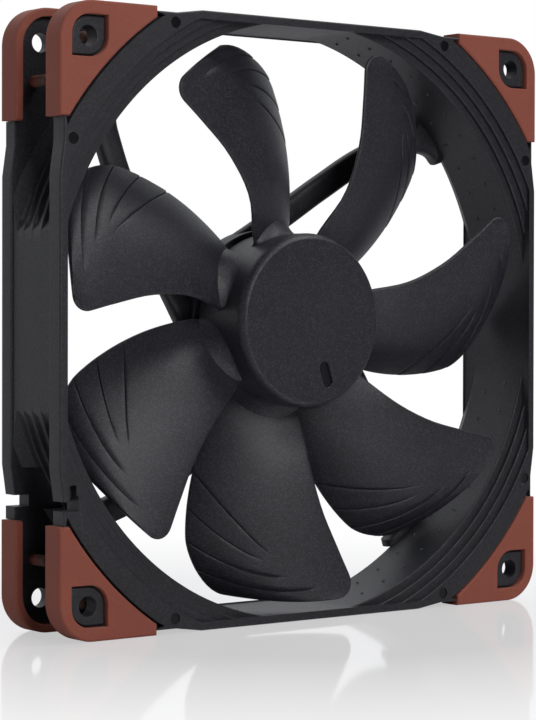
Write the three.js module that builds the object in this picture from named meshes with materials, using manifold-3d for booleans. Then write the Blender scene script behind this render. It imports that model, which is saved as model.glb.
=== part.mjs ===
// A 140 mm case fan: square frame with eight corner pads, seven-blade impeller on a sleeve
// bearing, and the brushless motor inside the hub. Millimetres, +Z up. Air enters at -Y and
// leaves at +Y. The origin is on the rotor's axis, half way between the two faces.
import * as THREE from 'three';
import { mergeVertices } from 'three/addons/utils/BufferGeometryUtils.js';
import Module from 'manifold-3d';

const wasm = await Module();
wasm.setup();

// ---- Frame ------------------------------------------------------------------------------
const fanWidth = 140; // across the outer faces of the corner pads
const fanDepth = 25; // from the pads' inlet faces to their outlet faces
const cornerRadius = 8.75; // outer corners of the pads
const padProud = 0.1; // how far the pads stand above the frame's faces and sides
const frontFlange = 4.7; // thickness of the inlet flange
const rearFlange = 4.1; // thickness of the outlet flange
const waistInset = 1.0; // how far the flange sides step in next to the pads
const waistTaper = 7; // length over which they step in
const waistLength = 5.5; // straight length of the stepped-in side
const ductWall = 2.3; // wall of the round duct between the flanges
const flatWall = 1.1; // wall where the duct is cut flat at the four sides
const flatInset = 0.5; // outer duct flat, in from the frame's side
const boreInset = 0.5; // bore radius is this much less than half the fan's width
const inletSteps = 3; // steps cut into each corner of the inlet
const inletStepRise = 1.97; // how much wider each step is
const inletStepDepth = 0.95; // how deep each step is
const outletFlare = 2.7; // how much the bore opens at the outlet
const outletFlareDepth = 4.4; // depth of that flare

// ---- Screw bosses and corner pads -------------------------------------------------------
const holeInset = 7.75; // screw hole centre, in from the fan's side
const holeDiameter = 4.4;
const islandSize = 8.5; // square screw boss in the pad's window
const islandRound = 4.25; // its two rounded corners
const islandRecess = 0.9; // boss face below the pad's face
const windowGap = 0.4; // gap between the boss and the pad's window
const padPlate = 1.8; // thickness of the pad over the flange
const padWall = 1.9; // thickness of the pad along the sides
const padDepth = 6.4; // how far the pad wraps round the corner
const padLeg = 25.5; // length of each pad leg from the fan's side
const padLegWidth = 2.56; // width of each pad leg at its end
const padGap = 0.5; // gap between the frame's raised ring and the pad
const padFit = 0.1; // clearance between a pad and the frame
const pinDiameter = 2.6; // silicone pins that hold a pad
const pinReach = 5; // how far a pin comes out behind the flange
const pinNear = 6.2; // pin centre, in from the near side
const pinFar = 16.5; // pin centre, in from the far side

// ---- Cable outlet -----------------------------------------------------------------------
const notchToPad = 4.3; // middle of the slots, in from the pads' leg ends
const notchHeight = 2.6; // slot in the outlet flange
const slotHeight = 2.1; // slot in the inlet flange
const slotReach = 4.7; // how far the slots reach in from the side
const windowHeight = 9.5; // window in the duct wall
const windowDepth = 6.5; // the window's size along the axis
const hookPocket = 2; // width and depth of the hook's pocket in the inlet flange
const hookHeight = 5.6;

// ---- Struts and motor base --------------------------------------------------------------
const strutCount = 4;
const strutWidth = 6.2;
const strutDepth = 4.1;
const strutRootAngle = 41; // where the first strut leaves the frame
const strutSweep = 69; // how far round it reaches on its way to the base
const strutBends = [[0, 0], [0.36, 0.13], [0.64, 0.265], [0.87, 0.5], [1, 1]]; // shares: inward, of the sweep
const strutStep = 1.3; // thicker step at the strut's root
const strutStepLength = 5.5;
const cableChannel = 2.6; // channel in the back of the cable strut
const channelStart = 0.1; // as a share of the strut's length
const channelEnd = 0.82;
const baseHeight = 5.7;
const baseOverHub = 1.1; // base radius less hub radius
const baseWall = 1.6;
const baseFloor = 1.6;
const boardLedge = 2.2; // width of the ledge that carries the circuit board
const boardStandoff = 1.9; // height of that ledge
const bearingSeatWall = 1.5;
const bearingSeatHeight = 2.8;
const labelRecess = 0.4;
const labelThickness = 0.2;
const labelMargin = 2.6;

// ---- Impeller ---------------------------------------------------------------------------
const bladeCount = 7;
const hubRadius = 20.4;
const capRecess = 1.2; // hub face behind the inlet face
const capThickness = 1.7;
const capRound = 1.5;
const hubWall = 1.5;
const hubBossRadius = 4.5;
const hubBossHeight = 2.3;
const runningGap = 0.7; // between the turning hub and the motor base
const tipClearance = 2.0; // between the blade tips and the duct's flats
const bladeThickness = 2.1;
const bladeTipThickness = 1.5;
const bladeEdge = 0.7; // thickness at the leading and trailing edges
const bladeCamber = 0.07; // height of the camber line over the chord
const leadingTipRound = 5.2;
const trailingTipRound = 10;
const markInset = 7; // middle of the pointer recess, in from the hub's side
const markAngle = -72;
const markLength = 6.3;
const markWidth = 2.8;
const markDepth = 0.5;

// ---- Motor ------------------------------------------------------------------------------
const pressFit = 0.05; // drawn clearance of pieces that are pressed or glued together
const yokeWall = 1.0;
const yokeRearSetback = 0.4;
const magnetWall = 1.8;
const magnetFloorGap = 1.65; // ring magnet to yoke floor
const airGap = 0.6;
const coreHeight = 6;
const coreRingWall = 2.3;
const poleCount = 4;
const poleArmWidth = 4.5;
const poleShoeThickness = 2.2;
const poleShoeAngle = 37; // half the angle that one pole covers
const insulatorWall = 0.7;
const insulatorFlange = 9; // width of the walls that hold the coils in
const coilClearance = 0.3;
const coilWidth = 10;
const coilHalfAngle = 41.9; // half the angle that one coil may fill
const coilFloorGap = 1.3; // coil to yoke floor
const coilBoardGap = 1.6; // coil to circuit board
const boardThickness = 1.2;
const boardFit = 0.3;
const chip = { length: 5, width: 4, height: 1.1, angle: 0 };
const sensor = { length: 3, width: 1.6, height: 0.9, angle: 90 };
const capacitor = { length: 2, width: 1.25, height: 0.9, angle: 180 };
const capacitorPitch = 25; // angle between the two capacitors

// ---- Bearing ----------------------------------------------------------------------------
const shaftDiameter = 3;
const shaftRunningFit = 0.03;
const shaftEmbed = 1.3; // how far the shaft is moulded into the cap
const shellWall = 1.4;
const shellFloor = 0.75;
const sleeveWall = 1.5;
const bearingFrontGap = 0.7; // between the hub boss and the bearing
const sealThickness = 0.6;
const sealGap = 0.22;
const thrustThickness = 0.55;
const thrustGap = 0.05;
const stabiliserHeight = 0.75;
const stabiliserWall = 1.0;
const clipThickness = 0.3;
const clipWidth = 1.2;
const clipGroove = 0.2;
const clipGap = 0.2;

// ---- Smoothness of round surfaces -------------------------------------------------------
const ductSides = 72;
const hubSides = 48;
const smallSides = 20;
const holeSides = 12;

// ---- Places worked out from the sizes above ---------------------------------------------
const halfWidth = fanWidth / 2;
const inletFace = -fanDepth / 2;
const outletFace = fanDepth / 2;
const flangeSide = halfWidth - padProud;
const flangeFront = inletFace + padProud;
const flangeRear = outletFace - padProud;
const frontFlangeInner = flangeFront + frontFlange;
const rearFlangeInner = flangeRear - rearFlange;
const legEnd = halfWidth - padLeg;
const holeOffset = halfWidth - holeInset;
const padArc = Math.hypot(legEnd, halfWidth - padLegWidth);
const ringEdge = padArc - padGap;
const notchLevel = legEnd - notchToPad;
const boreRadius = halfWidth - boreInset;
const outerFlat = flangeSide - flatInset;
const innerFlat = outerFlat - flatWall;
const tipRadius = innerFlat - tipClearance;
const markRadius = hubRadius - markInset;
const baseRadius = hubRadius + baseOverHub;
const baseFront = flangeRear - baseHeight;
const baseRear = flangeRear - labelRecess;
const baseInside = baseRear - baseFloor;
const boardRear = baseInside - boardStandoff;
const boardFront = boardRear - boardThickness;
const hubFront = inletFace + capRecess;
const capRear = hubFront + capThickness;
const hubRear = baseFront - runningGap;
const yokeRadius = hubRadius - hubWall - pressFit;
const yokeFront = capRear + pressFit;
const yokeInside = yokeFront + yokeWall;
const yokeRear = hubRear - yokeRearSetback;
const magnetRadius = yokeRadius - yokeWall - pressFit;
const magnetFront = yokeInside + magnetFloorGap;
const poleRadius = magnetRadius - magnetWall - airGap;
const coilFront = yokeInside + coilFloorGap;
const coilRear = boardFront - coilBoardGap;
const coreMiddle = (coilFront + coilRear) / 2;
const coreFront = coreMiddle - coreHeight / 2;
const coreRear = coreMiddle + coreHeight / 2;
const shaftRadius = shaftDiameter / 2;
const sleeveBore = shaftRadius + shaftRunningFit;
const sleeveRadius = sleeveBore + sleeveWall;
const shellBore = sleeveRadius + pressFit;
const shellRadius = shellBore + shellWall;
const shellFront = capRear + hubBossHeight + bearingFrontGap;
const shellRear = baseInside + baseFloor / 2;
const shellInside = shellRear - shellFloor;
const thrustFront = shellInside - thrustThickness - pressFit;
const stabiliserFront = thrustFront - stabiliserHeight - pressFit;
const clipFront = stabiliserFront - clipGap - clipThickness;
const shaftFront = capRear - shaftEmbed;
const shaftRear = thrustFront - thrustGap;
const coreBore = shellRadius + pressFit;
const coreRing = coreBore + coreRingWall;
const seatBore = shellRadius + pressFit;
const seatRadius = seatBore + bearingSeatWall;
const boardInner = seatRadius + boardFit;
const boardOuter = baseRadius - baseWall - boardFit;
const boardMiddle = (boardInner + boardOuter) / 2;
const past = 2; // how far a cutting shape runs past the face that it opens
const overlap = 0.5; // how far two shapes that are joined reach into each other

// ---- Finishes ---------------------------------------------------------------------------
const finish = (color, roughness, metalness) =>
  new THREE.MeshStandardMaterial({ color, roughness, metalness });
const blackPlastic = finish(0x2b2c31, 0.62, 0);
const bladePlastic = finish(0x303138, 0.55, 0);
const padSilicone = finish(0x8f4c3f, 0.8, 0);
const steel = finish(0xb9bcc0, 0.3, 1);
const yokeSteel = finish(0x8b8f94, 0.45, 1);
const magnetBlack = finish(0x33302f, 0.85, 0.1);
const brass = finish(0xb5935a, 0.35, 1);
const sinteredBronze = finish(0x8c6b45, 0.6, 0.9);
const coreSteel = finish(0x70757b, 0.5, 1);
const nylon = finish(0xe4dfd0, 0.6, 0);
const copper = finish(0xb0603a, 0.35, 0.9);
const boardGreen = finish(0x1f5b3a, 0.5, 0);
const chipBlack = finish(0x1a1a1c, 0.5, 0);
const ceramic = finish(0x9a7c5a, 0.6, 0);
const labelFilm = finish(0x3a3b40, 0.4, 0);

// ---- Turning three.js shapes into solids and back ---------------------------------------
const radians = THREE.MathUtils.degToRad;
const polar = (radius, angle) => new THREE.Vector2(radius * Math.cos(angle), radius * Math.sin(angle));

// A closed three.js geometry as a solid that can be joined and cut.
function solid(geometry) {
  geometry.deleteAttribute('normal');
  geometry.deleteAttribute('uv');
  const merged = mergeVertices(geometry, 1e-4);
  const vertProperties = new Float32Array(merged.attributes.position.array);
  const triVerts = new Uint32Array(merged.index.array);
  return new wasm.Manifold(new wasm.Mesh({ numProp: 3, vertProperties, triVerts }));
}

// A solid as a named mesh.
function piece(name, body, material) {
  const { vertProperties, triVerts } = body.getMesh();
  const geometry = new THREE.BufferGeometry();
  geometry.setAttribute('position', new THREE.BufferAttribute(vertProperties, 3));
  geometry.setIndex(new THREE.BufferAttribute(triVerts, 1));
  geometry.computeVertexNormals();
  const mesh = new THREE.Mesh(geometry, material);
  mesh.name = name;
  return mesh;
}

// A flat outline, drawn in X and Z, standing between two places on the Y axis.
function slab(outline, front, rear) {
  const options = { depth: rear - front, bevelEnabled: false, curveSegments: 4 };
  const geometry = new THREE.ExtrudeGeometry(outline, options);
  return solid(geometry.rotateX(Math.PI / 2).translate(0, rear, 0));
}

// A profile of [radius, y] points turned about the Y axis. It starts and ends on the axis,
// or is closed by its first point.
function turned(profile, sides) {
  const points = profile.map(([radius, y]) => new THREE.Vector2(radius, y));
  const body = solid(new THREE.LatheGeometry(points, sides));
  return body.volume() < 0 ? solid(new THREE.LatheGeometry(points.reverse(), sides)) : body;
}

const disc = (radius, front, rear, sides) =>
  turned([[0, front], [radius, front], [radius, rear], [0, rear]], sides);

const tube = (outer, inner, front, rear, sides) =>
  turned([[inner, front], [outer, front], [outer, rear], [inner, rear], [inner, front]], sides);

function block(x0, x1, y0, y1, z0, z1) {
  const geometry = new THREE.BoxGeometry(x1 - x0, y1 - y0, z1 - z0);
  return solid(geometry.translate((x0 + x1) / 2, (y0 + y1) / 2, (z0 + z1) / 2));
}

const turnAboutAxis = (body, degrees) => body.rotate([0, -degrees, 0]);

const pin = (x, z, radius, front, rear) => disc(radius, front, rear, holeSides).translate([x, 0, z]);

// ---- Outlines ---------------------------------------------------------------------------

// A square with round corners, centred on the axis.
function roundedSquare(half, round) {
  const outline = new THREE.Shape();
  for (let corner = 0; corner < 4; corner += 1) {
    const turn = (corner * Math.PI) / 2;
    const centre = polar((half - round) * Math.SQRT2, turn + Math.PI / 4);
    outline.absarc(centre.x, centre.y, round, turn, turn + Math.PI / 2, false);
  }
  return outline;
}

// The flange: full width along each side, stepped in beside the pads, and smaller by the
// pad's wall under them.
function flangeOutline() {
  const waist = flangeSide - waistInset;
  const seat = halfWidth - padWall - padFit;
  const seatRound = cornerRadius - padWall;
  const taperEnd = legEnd + padFit - waistLength;
  const step = legEnd - padFit;
  const side = [[flangeSide, taperEnd - waistTaper], [waist, taperEnd], [waist, step], [seat, step]];
  const arcSteps = 5;
  const arc = [];
  for (let k = 0; k <= arcSteps; k += 1) {
    const bend = polar(seatRound, (k / arcSteps) * (Math.PI / 2));
    arc.push([seat - seatRound + bend.x, seat - seatRound + bend.y]);
  }
  const corner = [...side, ...arc, ...side.map(([a, b]) => [b, a]).reverse()];
  const points = [];
  for (let turn = 0; turn < 4; turn += 1) {
    const centre = new THREE.Vector2(0, 0);
    for (const [x, z] of corner) {
      points.push(new THREE.Vector2(x, z).rotateAround(centre, (turn * Math.PI) / 2));
    }
  }
  return new THREE.Shape(points);
}

// The corner that a pad covers: outside a circle about the axis, up to the pad's leg ends.
function cornerOutline(half, round, ringRadius, end) {
  const reach = Math.sqrt(ringRadius ** 2 - end ** 2);
  const outline = new THREE.Shape();
  outline.moveTo(end, reach);
  outline.absarc(0, 0, ringRadius, Math.atan2(reach, end), Math.atan2(end, reach), true);
  outline.lineTo(half, end);
  outline.absarc(half - round, half - round, round, 0, Math.PI / 2, false);
  outline.lineTo(end, half);
  return outline;
}

// The screw boss: a square with the corner towards the fan's corner and the corner towards
// the axis rounded. It grows by a gap to make the pad's window.
function islandOutline(grow) {
  const half = islandSize / 2 + grow;
  const round = islandRound + grow;
  const outline = new THREE.Shape();
  outline.moveTo(holeOffset + half, holeOffset - half);
  outline.lineTo(holeOffset + half, holeOffset + half - round);
  const outer = holeOffset + half - round;
  outline.absarc(outer, outer, round, 0, Math.PI / 2, false);
  outline.lineTo(holeOffset - half, holeOffset + half);
  const inner = holeOffset - half + round;
  outline.absarc(inner, inner, round, Math.PI, Math.PI * 1.5, false);
  return outline;
}

// ---- Frame ------------------------------------------------------------------------------

// The space that air moves through: stepped in the inlet's corners, flared at the outlet,
// and cut flat at the four sides.
function bore() {
  const profile = [[0, inletFace - past]];
  for (let step = inletSteps; step > 0; step -= 1) {
    const radius = boreRadius + step * inletStepRise;
    const floor = flangeFront + (inletSteps - step + 1) * inletStepDepth;
    const ceiling = step === inletSteps ? inletFace - past : floor - inletStepDepth;
    profile.push([radius, ceiling], [radius, floor]);
  }
  profile.push([boreRadius, flangeFront + inletSteps * inletStepDepth]);
  profile.push([boreRadius, flangeRear - outletFlareDepth]);
  profile.push([boreRadius + outletFlare, flangeRear]);
  profile.push([boreRadius + outletFlare, outletFace + past], [0, outletFace + past]);
  const flats = block(-innerFlat, innerFlat, -fanDepth, fanDepth, -innerFlat, innerFlat);
  return turned(profile, ductSides).intersect(flats);
}

// The middle line of one strut, from the frame in to the motor base.
function strutLine() {
  const root = radians(strutRootAngle);
  const outside = boreRadius + outletFlare;
  const inside = baseRadius - strutWidth / 2;
  const sweep = radians(strutSweep);
  return new THREE.SplineCurve(
    strutBends.map(([share, turn]) => polar(outside + (inside - outside) * share, root + sweep * turn)),
  );
}

// A band of even width along a line, as an outline.
function bandOutline(line, width, steps, from = 0, to = 1) {
  const left = [];
  const right = [];
  for (let step = 0; step <= steps; step += 1) {
    const place = from + ((to - from) * step) / steps;
    const point = line.getPoint(place);
    const tangent = line.getTangent(place);
    const across = new THREE.Vector2(-tangent.y, tangent.x).multiplyScalar(width / 2);
    left.push(point.clone().add(across));
    right.push(point.clone().sub(across));
  }
  return new THREE.Shape([...left, ...right.reverse()]);
}

function struts() {
  const line = strutLine();
  const length = line.getLength();
  const front = flangeRear - strutDepth;
  const strut = slab(bandOutline(line, strutWidth, 10), front, flangeRear);
  const stepOutline = bandOutline(line, strutWidth, 2, 0, (2 * strutStepLength) / length);
  const one = strut.add(slab(stepOutline, front - strutStep, front + overlap));
  let all = one;
  for (let k = 1; k < strutCount; k += 1) {
    all = all.add(turnAboutAxis(one, (k * 360) / strutCount));
  }
  return all;
}

// The cup that carries the motor, with a ledge for the circuit board and a seat for the
// bearing.
function motorBase() {
  const inside = baseRadius - baseWall;
  const seatFront = baseInside - bearingSeatHeight;
  return turned([
    [0, shellRear + pressFit], [seatBore, shellRear + pressFit], [seatBore, seatFront],
    [seatRadius, seatFront], [seatRadius, baseInside],
    [inside - boardLedge, baseInside], [inside - boardLedge, boardRear],
    [inside, boardRear], [inside, baseFront], [baseRadius, baseFront], [baseRadius, flangeRear],
    [baseRadius - labelMargin, flangeRear], [baseRadius - labelMargin, baseRear], [0, baseRear],
  ], hubSides);
}

// What the cable outlet takes away on the left side: a slot in each flange, a window in the
// duct wall, a pocket for the hook and the channel in the back of one strut.
function cableCuts() {
  const outside = -halfWidth - past;
  const slotEnd = -flangeSide + slotReach;
  const notchLow = -notchLevel - notchHeight / 2;
  const slotLow = -notchLevel - slotHeight / 2;
  const windowLow = -notchLevel - slotHeight;
  const windowEnd = -Math.sqrt(boreRadius ** 2 - windowLow ** 2) + past;
  const windowFront = rearFlangeInner - windowDepth;
  const rearSlot = block(outside, slotEnd, windowFront, outletFace + past, notchLow, notchLow + notchHeight);
  const frontSlot = block(outside, slotEnd, inletFace - past, windowFront, slotLow, slotLow + slotHeight);
  const pocket = block(slotEnd - hookPocket, slotEnd, inletFace - past, flangeFront + hookPocket,
    slotLow, slotLow + hookHeight);
  const window = block(outside, windowEnd, windowFront, rearFlangeInner, windowLow, windowLow + windowHeight);
  const channelOutline = bandOutline(strutLine(), cableChannel, 10, channelStart, channelEnd);
  const channel = slab(channelOutline, flangeRear - strutDepth / 2, outletFace + past);
  return rearSlot.add(frontSlot).add(pocket).add(window).add(turnAboutAxis(channel, 180));
}

const fourCorners = (body) => [0, 1, 2, 3].map((turn) => turnAboutAxis(body, turn * 90));

// One corner's seats for its two pads, with the screw bosses left standing.
function padSeats() {
  const seat = cornerOutline(halfWidth + past, cornerRadius, ringEdge, legEnd - padFit);
  const plate = padPlate + padFit;
  const front = slab(seat, inletFace - past, inletFace + plate);
  const rear = slab(seat, outletFace - plate, outletFace + past);
  const frontIsland = slab(islandOutline(0), inletFace + islandRecess, inletFace + plate + overlap);
  const rearIsland = slab(islandOutline(0), outletFace - plate - overlap, outletFace - islandRecess);
  return front.subtract(frontIsland).add(rear.subtract(rearIsland));
}

function cornerHoles() {
  const near = halfWidth - pinNear;
  const far = halfWidth - pinFar;
  const pinHole = pinDiameter / 2 + padFit;
  return pin(holeOffset, holeOffset, holeDiameter / 2, -fanDepth, fanDepth)
    .add(pin(near, far, pinHole, -fanDepth, fanDepth))
    .add(pin(far, near, pinHole, -fanDepth, fanDepth));
}

function frame() {
  const outline = flangeOutline();
  const frontFlange = slab(outline, flangeFront, frontFlangeInner);
  const flanges = frontFlange.add(slab(outline, rearFlangeInner, flangeRear));
  const flats = block(-outerFlat, outerFlat, flangeFront, flangeRear, -outerFlat, outerFlat);
  const round = disc(boreRadius + ductWall, flangeFront, flangeRear, ductSides);
  let body = flanges.add(round.intersect(flats)).subtract(bore());
  for (const cut of [...fourCorners(padSeats()), ...fourCorners(cornerHoles())]) {
    body = body.subtract(cut);
  }
  const inner = disc(baseRadius - overlap, inletFace, outletFace, hubSides);
  const spider = struts().intersect(round).subtract(inner);
  return body.add(spider).add(motorBase()).subtract(cableCuts());
}

// ---- Corner pads ------------------------------------------------------------------------

// One silicone pad at the inlet's top right corner, with its window and two pins.
function cornerPad() {
  const seat = roundedSquare(halfWidth - padWall, cornerRadius - padWall);
  const outline = cornerOutline(halfWidth, cornerRadius, padArc, legEnd);
  const body = slab(outline, inletFace, inletFace + padDepth)
    .subtract(slab(seat, inletFace + padPlate, outletFace))
    .subtract(slab(islandOutline(windowGap), inletFace - past, outletFace));
  const near = halfWidth - pinNear;
  const far = halfWidth - pinFar;
  const front = inletFace + padPlate / 2;
  const rear = frontFlangeInner + pinReach;
  const radius = pinDiameter / 2;
  return body.add(pin(near, far, radius, front, rear)).add(pin(far, near, radius, front, rear));
}

// The eight pads are one shape: four turned about the axis, and four turned over.
function pads() {
  const corners = ['top_right', 'top_left', 'bottom_left', 'bottom_right'];
  const overturned = ['bottom_right', 'top_right', 'top_left', 'bottom_left'];
  const inlet = cornerPad();
  const outlet = inlet.rotate([180, 0, 0]);
  return corners.flatMap((corner, turn) => [
    piece(`inlet_pad_${corner}`, turnAboutAxis(inlet, turn * 90), padSilicone),
    piece(`outlet_pad_${overturned[turn]}`, turnAboutAxis(outlet, turn * 90), padSilicone),
  ]);
}

// ---- Impeller ---------------------------------------------------------------------------

// Blade edges at five evenly spaced stations from hub to tip: angle about the axis in
// degrees, the leading edge's depth behind the inlet face, and the trailing edge's height
// before the hub's rear rim.
const stations = (values) => new THREE.SplineCurve(values.map((value, k) => new THREE.Vector2(k, value)));
const leadingAngle = stations([121.2, 118.8, 120.8, 124.6, 127.4]);
const leadingDepth = stations([9.4, 4.9, 3.0, 1.9, 1.2]);
const trailingAngle = stations([76.2, 79.7, 84.2, 89.2, 94.8]);
const trailingHeight = stations([0.7, 0.3, 0.2, 0.4, 1.3]);

// How far a rounded tip corner pulls the edge in at one radius.
function tipPull(radius, round) {
  const into = THREE.MathUtils.clamp(radius - (tipRadius - round), 0, round);
  return round - Math.sqrt(round ** 2 - into ** 2);
}

// The two skins of a blade at one radius and one share of the chord: [suction, pressure].
function bladePoint(share, chordShare) {
  const root = hubRadius - hubWall / 2;
  const radius = root + (tipRadius - root) * share;
  const outward = THREE.MathUtils.clamp((radius - hubRadius) / (tipRadius - hubRadius), 0, 1);
  const along = Math.min(outward, 0.9999);
  const lead = radians(leadingAngle.getPoint(along).y) - tipPull(radius, leadingTipRound) / radius;
  const trail = radians(trailingAngle.getPoint(along).y) + tipPull(radius, trailingTipRound) / radius;
  const front = inletFace + leadingDepth.getPoint(along).y;
  const rear = hubRear - trailingHeight.getPoint(along).y;
  const chord = new THREE.Vector2(radius * (trail - lead), rear - front);
  const normal = new THREE.Vector2(-chord.y, chord.x).normalize();
  const arch = bladeCamber * chord.length() * 4 * chordShare * (1 - chordShare);
  const full = bladeThickness + (bladeTipThickness - bladeThickness) * outward;
  const half = (bladeEdge + (full - bladeEdge) * Math.sqrt(Math.sin(Math.PI * chordShare))) / 2;
  const middle = new THREE.Vector2(radius * lead, front).addScaledVector(chord, chordShare);
  return [arch + half, arch - half].map((lift) => {
    const place = middle.clone().addScaledVector(normal, lift);
    const spot = polar(radius, place.x / radius);
    return [spot.x, place.y, spot.y];
  });
}

// One blade as a closed skin over a grid of stations.
function blade() {
  const spanSteps = [0, 0.15, 0.35, 0.55, 0.75, 0.88, 0.95, 0.985, 1];
  const chordSteps = 7;
  const columns = 2 * (chordSteps + 1);
  const positions = [];
  for (const share of spanSteps) {
    const skins = Array.from({ length: chordSteps + 1 }, (_, k) => bladePoint(share, k / chordSteps));
    positions.push(...skins.map(([suction]) => suction), ...skins.map(([, pressure]) => pressure).reverse());
  }
  const triangles = [];
  for (let row = 0; row + 1 < spanSteps.length; row += 1) {
    for (let k = 0; k < columns; k += 1) {
      const a = row * columns + k;
      const b = row * columns + ((k + 1) % columns);
      triangles.push(a, b, b + columns, a, b + columns, a + columns);
    }
  }
  const lastRow = (spanSteps.length - 1) * columns;
  for (let k = 0; k < chordSteps; k += 1) {
    const far = columns - 1 - k;
    triangles.push(k, far, k + 1, k + 1, far, far - 1);
    triangles.push(lastRow + k, lastRow + k + 1, lastRow + far);
    triangles.push(lastRow + k + 1, lastRow + far - 1, lastRow + far);
  }
  const geometry = new THREE.BufferGeometry();
  geometry.setAttribute('position', new THREE.BufferAttribute(new Float32Array(positions.flat()), 3));
  geometry.setIndex(triangles);
  return solid(geometry);
}

// The hub: a cup with a rounded rim, a boss for the shaft and a small pointer recess.
function hub() {
  const inside = hubRadius - hubWall;
  const rimSteps = 4;
  const profile = [[0, hubFront]];
  for (let step = 0; step <= rimSteps; step += 1) {
    const bend = polar(capRound, (step / rimSteps) * (Math.PI / 2));
    profile.push([hubRadius - capRound + bend.y, hubFront + capRound - bend.x]);
  }
  profile.push([hubRadius, hubRear], [inside, hubRear], [inside, capRear]);
  const bossRear = capRear + hubBossHeight;
  profile.push([hubBossRadius, capRear], [hubBossRadius, bossRear], [0, bossRear]);
  const shaftHole = disc(shaftRadius + pressFit / 2, shaftFront, bossRear + past, smallSides);
  const markRound = markWidth / 2;
  const markReach = markLength / 2 - markRound;
  const mark = new THREE.Shape();
  mark.absarc(markRadius + markReach, 0, markRound, -Math.PI / 2, Math.PI / 2, false);
  mark.absarc(markRadius - markReach, 0, markRound, Math.PI / 2, Math.PI * 1.5, false);
  const recess = turnAboutAxis(slab(mark, inletFace, hubFront + markDepth), markAngle);
  return turned(profile, hubSides).subtract(shaftHole).subtract(recess);
}

function impeller() {
  const one = blade();
  const inner = disc(hubRadius - hubWall / 2, -fanDepth, fanDepth, hubSides);
  let body = hub();
  for (let k = 0; k < bladeCount; k += 1) {
    body = body.add(turnAboutAxis(one, (k * 360) / bladeCount).subtract(inner));
  }
  return body;
}

// ---- Rotor inside the hub ---------------------------------------------------------------

function rotorYoke() {
  const hole = hubBossRadius + pressFit;
  return turned([
    [hole, yokeFront], [yokeRadius, yokeFront], [yokeRadius, yokeRear], [yokeRadius - yokeWall, yokeRear],
    [yokeRadius - yokeWall, yokeInside], [hole, yokeInside], [hole, yokeFront],
  ], hubSides);
}

const ringMagnet = () =>
  tube(magnetRadius, magnetRadius - magnetWall, magnetFront, yokeRear - pressFit, hubSides);

// The shaft, with a groove near its end for the retaining clip.
function shaft() {
  const neck = shaftRadius - clipGroove;
  const grooveFront = clipFront - pressFit;
  const grooveRear = clipFront + clipThickness + pressFit;
  return turned([
    [0, shaftFront], [shaftRadius, shaftFront], [shaftRadius, grooveFront], [neck, grooveFront],
    [neck, grooveRear], [shaftRadius, grooveRear], [shaftRadius, shaftRear - clipGroove],
    [neck, shaftRear], [0, shaftRear],
  ], smallSides);
}

// A split nylon ring that snaps into the groove and stops the rotor from pulling out.
function retainingClip() {
  const inside = shaftRadius - clipGroove + pressFit / 2;
  const split = block(0, shaftDiameter, clipFront - past, clipFront + past, -clipGap, clipGap);
  return tube(inside + clipWidth, inside, clipFront, clipFront + clipThickness, smallSides).subtract(split);
}

// ---- Bearing ----------------------------------------------------------------------------

const sealFront = shellFront + pressFit;
const sealRear = sealFront + sealThickness;

const bearingShell = () => turned([
  [0, shellInside], [shellBore, shellInside], [shellBore, shellFront],
  [shellRadius, shellFront], [shellRadius, shellRear], [0, shellRear],
], smallSides);

const bearingSleeve = () => {
  return tube(sleeveRadius, sleeveBore, sealRear + pressFit, clipFront - clipGap, smallSides);
};

const oilSeal = () => tube(sleeveRadius, shaftRadius + sealGap, sealFront, sealRear, smallSides);

function stabiliserMagnet() {
  const rear = stabiliserFront + stabiliserHeight;
  return tube(sleeveRadius, sleeveRadius - stabiliserWall, stabiliserFront, rear, smallSides);
}

const thrustPlate = () => disc(sleeveRadius, thrustFront, thrustFront + thrustThickness, smallSides);

// ---- Stator -----------------------------------------------------------------------------

const poleAngle = (k) => Math.PI / 4 + (k * 2 * Math.PI) / poleCount;

// The lamination: a ring with four arms, each ending in a curved shoe.
function laminationOutline() {
  const half = poleArmWidth / 2;
  const shoeInside = poleRadius - poleShoeThickness;
  const tipInside = poleRadius - poleShoeThickness / 2;
  const outline = new THREE.Shape();
  for (let k = 0; k < poleCount; k += 1) {
    const turn = poleAngle(k);
    const reach = radians(poleShoeAngle);
    const armPoint = (radius, side) => polar(radius, turn + side * Math.asin(half / radius));
    const inPoints = [armPoint(coreRing, -1), armPoint(shoeInside, -1), polar(tipInside, turn - reach)];
    inPoints.forEach((point, place) => {
      if (k === 0 && place === 0) outline.moveTo(point.x, point.y);
      else outline.lineTo(point.x, point.y);
    });
    outline.absarc(0, 0, poleRadius, turn - reach, turn + reach, false);
    for (const point of [polar(tipInside, turn + reach), armPoint(shoeInside, 1), armPoint(coreRing, 1)]) {
      outline.lineTo(point.x, point.y);
    }
  }
  return outline;
}

const statorCore = () =>
  slab(laminationOutline(), coreFront, coreRear).subtract(disc(coreBore, -fanDepth, fanDepth, smallSides));

// A block on one pole: along the arm between two radii, across it, and along the axis.
function poleBlock(k, inner, outer, width, front, rear) {
  const body = block(inner, outer, front, rear, -width / 2, width / 2);
  return turnAboutAxis(body, THREE.MathUtils.radToDeg(poleAngle(k)));
}

const coilInner = coreRing + insulatorWall + coilClearance;
const coilOuter = poleRadius - poleShoeThickness - insulatorWall - coilClearance;

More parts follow.
